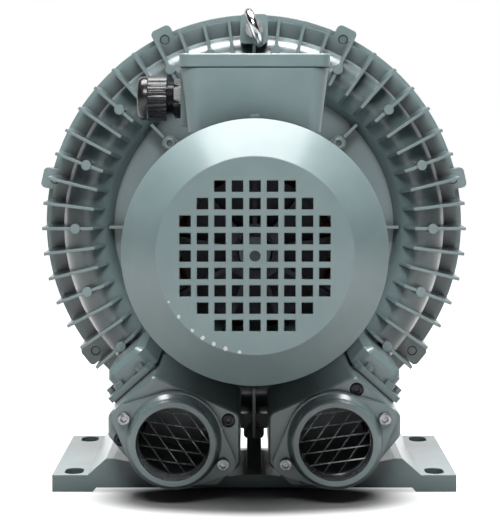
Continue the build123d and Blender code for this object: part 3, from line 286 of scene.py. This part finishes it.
cowl_paint = cowl_finish()
print("chips on the cowl's edge:", len(chips))

# %% [markdown]
# ## The metals
# Bare metal shows the light around it, so what tells zinc from steel is mostly how blurred the
# reflection is. The zinc is bright with faint clouds, the ground shaft has fine rings and is kept very
# dark, painted shade for its end deep behind the grille, the threads in the ports are cut after
# painting and shine, the cast impeller is duller, and the black screws are oxidised steel that is
# almost like satin paint.


# %% Metal finishes
def metal_finish(name, dark, light, roughness, grain_mm, lift_mm, stretch=(1, 1, 1)):
    """Bare metal whose colour and gloss drift a little from place to place."""
    material, tree_nodes, links, shader = new_finish(name, light, metallic=1.0, roughness=roughness)
    clouds = object_noise(tree_nodes, links, grain_mm, detail=4.0, stretch=stretch)
    vary_color(tree_nodes, links, shader, clouds, dark, light)
    vary_roughness(tree_nodes, links, shader, clouds, roughness - 0.07, roughness + 0.10)
    raise_surface(tree_nodes, links, shader, clouds, lift_mm)
    return material


zinc = metal_finish("bright_zinc", (0.62, 0.63, 0.65), (0.80, 0.81, 0.82), 0.20, 3.0, 0.01)
# painted shade: this steel is much darker than bare ground steel, so the shaft end behind the grille
# stays dark
shaded_ground_steel = metal_finish("shaded_ground_steel", (0.08, 0.083, 0.088), (0.14, 0.144, 0.15), 0.38, 0.6,
                            0.005, stretch=(1, 6, 1))
guard_steel = metal_finish("guard_steel", (0.22, 0.23, 0.24), (0.50, 0.51, 0.52), 0.34, 2.0, 0.02)
machined_alloy = metal_finish("machined_alloy", (0.66, 0.67, 0.68), (0.80, 0.81, 0.82), 0.28, 2.0, 0.01)
cast_alloy = metal_finish("cast_alloy", (0.55, 0.56, 0.57), (0.70, 0.71, 0.72), 0.45, 1.2, 0.05)
core_steel = metal_finish("core_steel", (0.14, 0.14, 0.15), (0.26, 0.26, 0.27), 0.50, 0.5,
                          0.02, stretch=(0.2, 8, 0.2))
bearing_steel = metal_finish("bearing_steel", (0.70, 0.70, 0.71), (0.82, 0.82, 0.83), 0.12, 4.0, 0.002)
copper = metal_finish("enamelled_copper", (0.16, 0.055, 0.028), (0.27, 0.10, 0.05), 0.40, 0.9, 0.05)
brass = metal_finish("brass", (0.60, 0.42, 0.16), (0.75, 0.56, 0.25), 0.30, 2.0, 0.01)
black_steel = metal_finish("black_oxide", (0.020, 0.020, 0.022), (0.050, 0.050, 0.055), 0.30, 1.5, 0.01)
metals = (zinc, shaded_ground_steel, guard_steel, machined_alloy, cast_alloy, core_steel, bearing_steel, copper,
          brass, black_steel)
print("metals:", [metal.name for metal in metals])

# %% [markdown]
# ## Plastics, rubber and foam
# Moulded black plastic is nearly black in its depth and shows the lamps on its skin. The fan is the
# same plastic with more dust on it. Gaskets are matt, and the silencer foam is an open sponge whose
# pores are a cell texture.


# %% Moulded and soft finishes
def moulded_finish(name, dark, light, roughness, grain_mm, lift_mm):
    """Plastic or rubber with a fine skin."""
    material, tree_nodes, links, shader = new_finish(name, dark, roughness=roughness)
    skin = object_noise(tree_nodes, links, grain_mm, detail=4.0)
    vary_color(tree_nodes, links, shader, skin, dark, light)
    vary_roughness(tree_nodes, links, shader, skin, roughness - 0.05, roughness + 0.08)
    raise_surface(tree_nodes, links, shader, skin, lift_mm)
    return material


gland_plastic = moulded_finish("gland_plastic", (0.010, 0.010, 0.012), (0.018, 0.018, 0.020), 0.22,
                               2.0, 0.01)
fan_plastic = moulded_finish("fan_plastic", (0.012, 0.016, 0.022), (0.028, 0.034, 0.044), 0.50, 6.0, 0.03)
board_plastic = moulded_finish("board_plastic", (0.20, 0.055, 0.025), (0.26, 0.075, 0.032), 0.45,
                               1.5, 0.02)
rubber = moulded_finish("seal_rubber", (0.014, 0.014, 0.014), (0.024, 0.024, 0.024), 0.60, 0.8, 0.03)
gasket_sheet = moulded_finish("gasket_sheet", (0.05, 0.05, 0.05), (0.09, 0.09, 0.09), 0.75, 0.5, 0.05)

foam_pore_mm = 1.8
foam_pore_deep_mm = 0.6


def foam_finish():
    """An open sponge: dark pores in a grid of cells."""
    material, tree_nodes, links, shader = new_finish("silencer_foam", (0.03, 0.03, 0.032), roughness=0.95)
    place = tree_nodes.new("ShaderNodeTexCoord")
    pores = tree_nodes.new("ShaderNodeTexVoronoi")
    pores.inputs["Scale"].default_value = 1 / (foam_pore_mm * MM)
    links.new(place.outputs["Object"], pores.inputs["Vector"])
    shade = tree_nodes.new("ShaderNodeValToRGB")
    shade.color_ramp.elements[0].color = (0.004, 0.004, 0.004, 1)
    shade.color_ramp.elements[1].color = (0.07, 0.07, 0.072, 1)
    links.new(pores.outputs["Distance"], shade.inputs["Fac"])
    links.new(shade.outputs["Color"], shader.inputs["Base Color"])
    bump = tree_nodes.new("ShaderNodeBump")
    bump.inputs["Distance"].default_value = foam_pore_deep_mm * MM
    links.new(pores.outputs["Distance"], bump.inputs["Height"])
    links.new(bump.outputs["Normal"], shader.inputs["Normal"])
    return material


foam = foam_finish()
print("soft and moulded finishes ready")

# %% [markdown]
# ## Dressing the solids
# Each solid gets one finish. The table goes by finish, because that is how a painter or a plater
# would sort the parts into trays.

# %% Give every solid its finish
trays = {
    cast_paint: ["blower_casing", "casing_cover", "foot_frame", "silencer_housing_left",
                 "silencer_housing_right", "silencer_cover_left", "silencer_cover_right",
                 "port_flange_left", "port_flange_right", "motor_housing", "end_shield",
                 "cover_screws", "motor_screws", "neck_screws"],
    sheet_paint: ["terminal_box_base", "terminal_box_lid", "cowl_screws"],
    cowl_paint: ["fan_cowl"],
    zinc: ["lifting_eye", "foot_screws", "end_shield_screws",
           "lid_screws", "terminal_studs", "impeller_nut"],
    # The silencer tubes wear black oxide so that the insides of the ports stay dark: painted shade.
    black_steel: ["fan_clip", "silencer_cover_screws", "silencer_tube_left", "silencer_tube_right"],
    shaded_ground_steel: ["rotor_shaft", "impeller_key"],
    guard_steel: ["guard_mesh_left", "guard_mesh_right", "port_screws"],
    cast_alloy: ["impeller", "rotor_end_rings"],
    core_steel: ["stator_core", "rotor_core"],
    bearing_steel: ["drive_bearing_inner", "drive_bearing_outer", "drive_bearing_balls",
                    "fan_bearing_inner", "fan_bearing_outer", "fan_bearing_balls"],
    copper: ["stator_windings"],
    brass: ["terminal_links"],
    gland_plastic: ["gland_body", "gland_nut", "gland_locknut"],
    fan_plastic: ["cooling_fan"],
    board_plastic: ["terminal_board"],
    rubber: ["gland_seal", "lid_gasket", "shaft_seal"],
    gasket_sheet: ["port_gaskets", "neck_gaskets"],
    foam: ["silencer_foam_left", "silencer_foam_right"],
}


def dress(piece, material):
    """Takes off what a piece wears and puts one material on."""
    piece.data.materials.clear()
    piece.data.materials.append(material)


for material, names in trays.items():
    for name in names:
        dress(nodes[name], material)
undressed = set(nodes) - {name for names in trays.values() for name in names}
print("dressed:", len(nodes) - len(undressed), "left bare:", sorted(undressed))

# %% [markdown]
# ## Turned pieces
# Screws, the cable gland and the threads are all turned shapes: an outline that goes once round an
# axis. Blender's screw modifier could do it, but a small function that lays the rings itself can also
# press flutes, a six-sided socket or a thread into them, so it is used for all.


# %% Lay rings round an axis
def turned(outline_mm, start, direction, steps=48, radius_at=None):
    """A mesh of rings. The outline is (distance, radius) pairs in mm along the direction from start."""
    along = Vector(direction).normalized()
    side = along.orthogonal().normalized()
    up = along.cross(side)
    origin = Vector(start)
    rings = bmesh.new()
    last = None
    for distance, radius in outline_mm:
        ring = []
        for step in range(steps):
            angle = 2 * math.pi * step / steps
            reach = radius_at(angle, distance, radius) if radius_at else radius
            outward = math.cos(angle) * side + math.sin(angle) * up
            ring.append(rings.verts.new(origin + MM * (distance * along + reach * outward)))
        if last:
            for step in range(steps):
                following = (step + 1) % steps
                rings.faces.new((last[step], last[following], ring[following], ring[step]))
        last = ring
    return rings


def as_piece(name, parts, material, body, smooth_angle=35):
    """Joins bmeshes into one object that rides on a body."""
    mesh = bpy.data.meshes.new(name)
    whole = bmesh.new()
    for part in parts:
        bmesh.ops.recalc_face_normals(part, faces=part.faces)
        loose = bpy.data.meshes.new("loose")
        part.to_mesh(loose)
        part.free()
        whole.from_mesh(loose)
        bpy.data.meshes.remove(loose)
    whole.to_mesh(mesh)
    whole.free()
    mesh.materials.append(material)
    mesh.shade_smooth()
    mesh.set_sharp_from_angle(angle=math.radians(smooth_angle))
    piece = bpy.data.objects.new(name, mesh)
    bpy.context.collection.objects.link(piece)
    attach(piece, body)
    return piece


print("turning helpers ready")

# %% [markdown]
# ## Screws with sockets
# The solids hold every screw as a plain head and shank. A real cap screw has a rounded rim, a sunk
# six-sided socket and a shadow in it. The screws could be placed by hand, but the places are in the
# solids themselves: each loose island of a screw node is one screw, and its box gives the axis, the
# head and the length. The ports' screws go in after painting and are bare steel, the silencer covers'
# are black, and the rest are painted over with the castings.


# %% Find the screws of a node
same_place_mm = 0.005


def islands(node):
    """The boxes of a node's separate solids, as (low, high) pairs."""
    whole = bmesh.new()
    whole.from_mesh(nodes[node].data)
    bmesh.ops.remove_doubles(whole, verts=whole.verts, dist=same_place_mm * MM)
    left = set(whole.verts)
    boxes = []
    while left:
        group, edge_of_group = set(), [left.pop()]
        while edge_of_group:
            vert = edge_of_group.pop()
            group.add(vert)
            for edge in vert.link_edges:
                other = edge.other_vert(vert)
                if other in left:
                    left.remove(other)
                    edge_of_group.append(other)
        places = [v.co for v in group]
        low = Vector([min(p[i] for p in places) for i in range(3)])
        high = Vector([max(p[i] for p in places) for i in range(3)])
        boxes.append((low, high))
    whole.free()
    return boxes


print("motor screws found:", len(islands("motor_screws")))


# %% Turn one cap screw
axis_r = 0.01
head_to_shank = 1.6
head_high_to_shank = 1.8
socket_to_head = 0.475
screw_tip = 0.5


def six_sided(angle, across_flats):
    """Radius of a hexagon at an angle."""
    return across_flats / 2 / math.cos((angle + math.pi / 6) % (math.pi / 3) - math.pi / 6)


def socket_screw(low, high, head_front):
    """A cap screw along Y that fills the box of the plain one. Its head faces -Y if head_front is -1."""
    head_r = (high.x - low.x) / 2 / MM
    shank_r = head_r / head_to_shank
    head_high = head_high_to_shank * shank_r
    length = (high.y - low.y) / MM
    y_top = low.y if head_front < 0 else high.y
    start = ((low.x + high.x) / 2, y_top, (low.z + high.z) / 2)
    rim = 0.12 * head_r
    key_r = socket_to_head * head_r
    key_deep = 0.55 * head_high
    key_edge = 0.06 * head_r
    socket = [(key_deep, axis_r), (key_deep, key_r), (key_edge, key_r), (0, key_r + key_edge)]
    head = [(0, head_r - rim), (0.3 * rim, head_r - 0.3 * rim), (rim, head_r), (head_high, head_r)]
    shank = [(head_high, shank_r), (length - screw_tip, shank_r), (length, shank_r - screw_tip),
             (length, axis_r)]

    def shaped(angle, distance, radius):
        in_socket = radius <= key_r + key_edge and distance < head_high
        return six_sided(angle, 2 * key_r) * radius / key_r if in_socket else radius

    return turned(socket + head + shank, start, (0, -head_front, 0), steps=36, radius_at=shaped)


print("a hexagon of 8 mm is", round(2 * six_sided(math.pi / 6, 8.0), 2), "mm over its corners")


# %% Put socketed screws in place of the plain ones
def socket_screws(node, material, head_front):
    """Replaces a node's plain screws with socketed ones and says how many there are."""
    screws = [socket_screw(low, high, head_front) for low, high in islands(node)]
    piece = as_piece(node + "_socketed", screws, material, "blower")
    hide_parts(node)
    print(node, "screws:", len(screws))


socket_screws("port_screws", guard_steel, -1)
socket_screws("silencer_cover_screws", black_steel, -1)
socket_screws("cover_screws", cast_paint, 1)
socket_screws("motor_screws", cast_paint, -1)

# %% [markdown]
# ## The cable gland
# The gland clamps the supply cable. Its cap nut has fine flutes for the fingers and a smooth domed
# end, and screws onto a threaded stem with a six-sided collar. All of it is one glossy black plastic.
# The cap is turned with 240 steps, so that each of its 30 flutes gets eight.

# %% Turn the gland's cap
cap_low, cap_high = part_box("gland_nut")
gland_axis = ((cap_low.y + cap_high.y) / 2, (cap_low.z + cap_high.z) / 2)
cap_r = (cap_high.z - cap_low.z) / 2 / MM
cap_l = (cap_high.x - cap_low.x) / MM
cap_inner_r = 12.8
cable_r = 9.0
flute_count = 30
flute_deep = 0.55
flute_flatness = 0.6
dome_l = 7.5


def fluted(angle, distance, radius):
    """Presses the flutes into the straight part of the cap."""
    deep = flute_deep if dome_l + 0.6 < distance < cap_l - 0.2 else 0.0
    return radius - deep * (0.5 - 0.5 * math.cos(flute_count * angle)) ** flute_flatness


cap_mouth = [(1.2, cable_r), (0.3, cable_r + 0.4), (0, cable_r + 1.2)]
cap_dome = [(0, cap_r - 4.6), (0.5, cap_r - 2.9), (1.6, cap_r - 1.5), (3.4, cap_r - 0.7),
            (5.2, cap_r - 0.35)]
cap_step = [(dome_l, cap_r - 0.5), (dome_l + 0.5, cap_r - 0.1), (dome_l + 1.0, cap_r)]
cap_end = [(cap_l - 1.0, cap_r), (cap_l - 0.2, cap_r - 0.3), (cap_l, cap_r - 0.9), (cap_l, cap_inner_r)]
cap_rings = turned(cap_mouth + cap_dome + cap_step + cap_end, (cap_low.x, *gland_axis), (1, 0, 0),
                   steps=8 * flute_count, radius_at=fluted)
gland_cap = as_piece("gland_cap", [cap_rings], gland_plastic, "blower")
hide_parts("gland_nut")
print("gland cap across:", round(2 * cap_r, 1), "mm, long:", round(cap_l, 1), "mm")

# %% [markdown]
# ## A thread and the gland's stem
# A screw thread is a groove that moves along by one pitch in each turn. So the radius of a ring can
# follow from its distance and its angle, and one function serves both the gland's stem and the
# ports. Between cap and box the stem shows its thread and a hexagon for the spanner.


# %% Radius of a screw thread
def threaded(pitch, depth):
    """Radius of a screw thread that winds once round per pitch."""
    def radius_at(angle, distance, radius):
        turn = (distance / pitch - angle / (2 * math.pi)) % 1
        return radius - depth * abs(2 * turn - 1)
    return radius_at


print("thread helper ready")

# %% Turn the stem between the cap and the box wall
rings_per_turn = 6
thread_steps = 96
stem_pitch = 1.5
stem_thread_deep = 0.8
stem_r = 12.4
stem_hidden_l = 2.0
stem_tail_l = 9.0
hex_l = 5.7
hex_flats = 27.0
hex_corner_r = 15.6
hex_edge_l, hex_edge_r = 0.8, 1.2
visible_l = (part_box("terminal_box_base")[0].x - cap_high.x) / MM
hex_start = visible_l - hex_l


def stem_radius(angle, distance, radius):
    """A hexagon where the outline is wide, and a thread elsewhere."""
    if radius > stem_r + 0.5:
        return min(six_sided(angle, hex_flats), radius)
    return threaded(stem_pitch, stem_thread_deep)(angle, distance, radius)


stem_step = stem_pitch / rings_per_turn
stem_thread = [(step * stem_step - stem_hidden_l, stem_r)
               for step in range(int(hex_start / stem_step) + 8)]
stem_hex = [(hex_start, stem_r), (hex_start, hex_corner_r - hex_edge_r),
            (hex_start + hex_edge_l, hex_corner_r), (visible_l, hex_corner_r), (visible_l, stem_r)]
stem_end = [(visible_l + stem_tail_l, stem_r), (visible_l + stem_tail_l, cable_r),
            (-stem_hidden_l, cable_r), (-stem_hidden_l, stem_r)]
stem_rings = turned(stem_thread + stem_hex + stem_end, (cap_high.x, *gland_axis), (1, 0, 0),
                    steps=thread_steps, radius_at=stem_radius)
gland_stem = as_piece("gland_stem", [stem_rings], gland_plastic, "blower")
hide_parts("gland_body")
print("stem shows for", round(visible_l, 1), "mm")

# %% [markdown]
# ## The ports' threads
# The ports take a two inch pipe, so a fine thread runs down each collar. It catches the light as a
# row of fine lines at the bottom of the bore, and it is cut after painting, so it is bare metal. The
# grooves are too fine for the solids, so a turned sleeve with the thread pressed in lies inside each
# bore. Its pitch is eleven turns to the inch.

# %% Cut the pipe thread into both bores
port_bore_r = 28.4
sleeve_gap = 0.02
pipe_thread_pitch = 2.309
pipe_thread_deep = 0.7
pipe_thread_start = 1.6
pipe_thread_l = 19.0
port_bores = {}
for mount in frame["record"]["mounts"]:
    if mount["kind"] == "threaded_hole":
        port_bores[mount["name"]] = Vector(mount["pos_m"])
for side in ("left", "right"):
    flange_low, flange_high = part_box("port_flange_" + side)
    bore = min(port_bores.values(), key=lambda place: abs(place.x - (flange_low.x + flange_high.x) / 2))
    ring_count = int(pipe_thread_l / pipe_thread_pitch * rings_per_turn)
    outline = [(pipe_thread_start + step * pipe_thread_pitch / rings_per_turn, port_bore_r - sleeve_gap)
               for step in range(ring_count)]
    sleeve = turned(outline, (bore.x, flange_low.y, bore.z), (0, 1, 0), steps=thread_steps,
                    radius_at=threaded(pipe_thread_pitch, pipe_thread_deep))
    as_piece("port_thread_" + side, [sleeve], machined_alloy, "blower", smooth_angle=80)
print("thread rings:", ring_count, "bore middle in mm:", [round(1000 * v, 1) for v in bore])

# %% [markdown]
# ## The expanded metal in the ports
# A guard of expanded metal keeps fingers and stones out. It is slit and stretched sheet, so its
# strands are flat ribbons that stand a little on edge and meet in long diamonds. Two crossing sets of
# slim ribbons, cut to the circle of the guard, give the same lines and glints.

# %% Lay the ribbons of both guards
strand_pitch = 9.7
strand_w = 0.95
strand_t = 0.7
strand_tilt = 0.6
strand_angles = (-8.0, -55.0)
strand_shift = 0.15
strand_layer_mm = 0.3
strand_shortest = 2.0
guard_rim_w = 3.2
guard_rim_lap = 1.0


def ribbon(start, end, tilt):
    """A thin bar with a flat section, turned a little about its own length."""
    bar = bmesh.new()
    length = (end - start).length
    bmesh.ops.create_cube(bar, size=1.0)
    bmesh.ops.scale(bar, vec=(length, strand_t * MM, strand_w * MM), verts=bar.verts)
    bmesh.ops.rotate(bar, cent=(0, 0, 0), matrix=Matrix.Rotation(tilt, 3, "X"), verts=bar.verts)
    turn = (end - start).to_track_quat("X", "Z").to_matrix()
    bmesh.ops.rotate(bar, cent=(0, 0, 0), matrix=turn, verts=bar.verts)
    bmesh.ops.translate(bar, vec=(start + end) / 2, verts=bar.verts)
    return bar


def guard(side):
    """Two crossing sets of ribbons in a round rim. Returns how many parts there are."""
    low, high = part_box("guard_mesh_" + side)
    middle = (low + high) / 2
    guard_r = (high.x - low.x) / 2 / MM
    mirror = 1 if side == "left" else -1
    parts = []
    for place, angle_deg in enumerate(strand_angles):
        angle = math.radians(angle_deg)
        along = Vector((mirror * math.cos(angle), 0, math.sin(angle)))
        across = Vector((-mirror * math.sin(angle), 0, math.cos(angle)))
        last_step = int(guard_r / strand_pitch)
        for step in range(-last_step, last_step + 1):
            offset = (step + strand_shift) * strand_pitch
            half = math.sqrt(max(0.0, (guard_r - guard_rim_lap) ** 2 - offset ** 2))
            if half > strand_shortest:
                layer = Vector((0, (place - 0.5) * strand_layer_mm * MM, 0))
                centre = middle + MM * offset * across + layer
                parts.append(ribbon(centre - MM * half * along, centre + MM * half * along, strand_tilt))
    rim_t = (high.y - low.y) / MM
    rim_in = guard_r - guard_rim_w
    rim = [(0, rim_in), (0, guard_r), (rim_t, guard_r), (rim_t, rim_in), (0, rim_in)]
    parts.append(turned(rim, (middle.x, low.y, middle.z), (0, 1, 0), steps=64))
    piece = as_piece("expanded_guard_" + side, parts, guard_steel, "blower")
    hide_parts("guard_mesh_" + side)
    return len(parts)


print("ribbons per guard:", guard("left"), guard("right"))

# %% [markdown]
# ## The studio
# The machine stands on a white table in a white room. The table is lit like any surface, but the
# camera is shown plain white except for a painted shadow in front of the foot: an ellipse where the
# table turns to a darker tone and its rendered shade shows. Glossy paint is shown white too, except
# close to the machine. A plain bright table could do all of this, but it would throw its light back
# up under the machine and wash out the dark spaces there, so it reflects little near the machine and
# more further out. The white room works in the same way: the camera sees it, and glossy surfaces see
# what lies behind the machine.


# %% The white table
shadow_fade = (0.62, 1.15)
mirror_fade_m = (0.10, 0.24)
bounce_fade_m = (0.25, 0.60)


def vector_node(tree_nodes, links, operation, vector, value=None):
    """One operation on a vector, with a second vector if it needs one."""
    node = tree_nodes.new("ShaderNodeVectorMath")
    node.operation = operation
    links.new(vector, node.inputs[0])
    if value is not None:
        node.inputs[1].default_value = value
    return node


def white_floor(reach=40.0, shadow_middle=(0, -0.030, 0), shadow_x=0.150, shadow_y=0.066,
                painted_shadow_tone=0.42, near_bounce=0.08, far_bounce=0.62):
    """A white table that is fully white to the camera, but for a painted shadow: a darker ellipse in
    front of the foot where the rendered shade shows.
    """
    floor_mesh = bpy.data.meshes.new("floor")
    corners = [(-reach, -reach, 0), (reach, -reach, 0), (reach, reach, 0), (-reach, reach, 0)]
    floor_mesh.from_pydata(corners, [], [(0, 1, 2, 3)])
    floor = bpy.data.objects.new("floor", floor_mesh)
    bpy.context.collection.objects.link(floor)
    material, tree_nodes, links, shader = new_finish("white_table", (0.88, 0.88, 0.88), roughness=0.7)
    shader.inputs["Specular IOR Level"].default_value = 0.1
    path = tree_nodes.new("ShaderNodeLightPath")
    camera_ray, glossy_ray = path.outputs["Is Camera Ray"], path.outputs["Is Glossy Ray"]
    place = tree_nodes.new("ShaderNodeTexCoord").outputs["Object"]

    from_shadow = vector_node(tree_nodes, links, "SUBTRACT", place, shadow_middle)
    stretched = vector_node(tree_nodes, links, "MULTIPLY", from_shadow.outputs["Vector"],
                            (1 / shadow_x, 1 / shadow_y, 1))
    away = vector_node(tree_nodes, links, "LENGTH", stretched.outputs["Vector"]).outputs["Value"]
    fade = map_range(tree_nodes, links, away, *shadow_fade)
    fade.interpolation_type = "SMOOTHSTEP"
    far = vector_node(tree_nodes, links, "LENGTH", place).outputs["Value"]
    mirrored = map_range(tree_nodes, links, far, *mirror_fade_m)
    to_camera = math_node(tree_nodes, links, "MULTIPLY", camera_ray, fade.outputs["Result"])
    to_paint = math_node(tree_nodes, links, "MULTIPLY", glossy_ray, mirrored.outputs["Result"])
    shown = math_node(tree_nodes, links, "MAXIMUM", to_camera, to_paint)
    shader.inputs["Emission Color"].default_value = (1, 1, 1, 1)
    links.new(shown, shader.inputs["Emission Strength"])

    bounce = map_range(tree_nodes, links, far, *bounce_fade_m, near_bounce, far_bounce)
    unseen = math_node(tree_nodes, links, "SUBTRACT", 1.0, camera_ray)
    bounced = math_node(tree_nodes, links, "MULTIPLY", unseen, bounce.outputs["Result"])
    # painted shadow: to the camera the table has this darker tone, which shows only inside the ellipse in
    # front of the foot
    seen = math_node(tree_nodes, links, "MULTIPLY", camera_ray, painted_shadow_tone)
    links.new(math_node(tree_nodes, links, "ADD", bounced, seen), shader.inputs["Base Color"])
    floor_mesh.materials.append(material)


white_floor()
print("table ready, fully mirrored from", mirror_fade_m[1], "m on")


# %% The white room
behind_fade = (0.55, 0.95)
room_fill = 0.004


def white_world(fill):
    """White for the camera, white behind the machine for reflections, and a low fill for the rest."""
    world = bpy.data.worlds.new("white_room")
    bpy.context.scene.world = world
    world.use_nodes = True
    tree_nodes, links = world.node_tree.nodes, world.node_tree.links
    back = tree_nodes["Background"]
    back.inputs["Color"].default_value = (1, 1, 1, 1)
    path = tree_nodes.new("ShaderNodeLightPath")
    place = tree_nodes.new("ShaderNodeTexCoord")
    split = tree_nodes.new("ShaderNodeSeparateXYZ")
    links.new(place.outputs["Generated"], split.inputs["Vector"])
    behind = map_range(tree_nodes, links, split.outputs["Y"], *behind_fade)
    glossy_ray = path.outputs["Is Glossy Ray"]
    glossy = math_node(tree_nodes, links, "MULTIPLY", glossy_ray, behind.outputs["Result"])
    seen = math_node(tree_nodes, links, "MAXIMUM", path.outputs["Is Camera Ray"], glossy)
    seen = math_node(tree_nodes, links, "MAXIMUM", seen, path.outputs["Is Transmission Ray"])
    links.new(math_node(tree_nodes, links, "MAXIMUM", seen, fill), back.inputs["Strength"])


white_world(room_fill)
bpy.context.scene.view_settings.view_transform = "Standard"
print("room ready, fill:", room_fill)

# %% [markdown]
# ## The lamps
# The main lamp is high in front, so that the spaces between the side fins fall dark while the upper
# ones fill with light. A second lamp hangs overhead and draws the bright patch on the cowl's bevel. A
# weak low lamp in front lifts the faces a little, and two weak ones stand behind at the sides. Each
# could be a sun or a point, but a soft rectangle gives softer shadows and broad reflections.


# %% Soft lamps
def soft_lamp(name, place, aim, wide, high, watts):
    """A rectangular lamp of some size in metres that looks at a point."""
    lamp_data = bpy.data.lights.new(name, "AREA")
    lamp_data.shape = "RECTANGLE"
    lamp_data.size = wide
    lamp_data.size_y = high
    lamp_data.energy = watts
    lamp = bpy.data.objects.new(name, lamp_data)
    lamp.location = place
    lamp.rotation_euler = (Vector(aim) - Vector(place)).to_track_quat("-Z", "Y").to_euler()
    bpy.context.collection.objects.link(lamp)


machine_middle = (0, 0, 0.19)
soft_lamp("key_lamp", (0, -1.55, 1.50), machine_middle, wide=0.9, high=0.5, watts=26)
soft_lamp("front_lamp", (0, -1.6, 0.30), machine_middle, wide=1.6, high=0.3, watts=0.6)
soft_lamp("top_lamp", (0, 0.10, 1.35), machine_middle, wide=1.2, high=0.6, watts=32)
soft_lamp("left_lamp", (-1.6, 1.1, 0.6), machine_middle, wide=0.4, high=1.1, watts=1.5)
soft_lamp("right_lamp", (1.6, 1.1, 0.6), machine_middle, wide=0.4, high=1.1, watts=1.5)
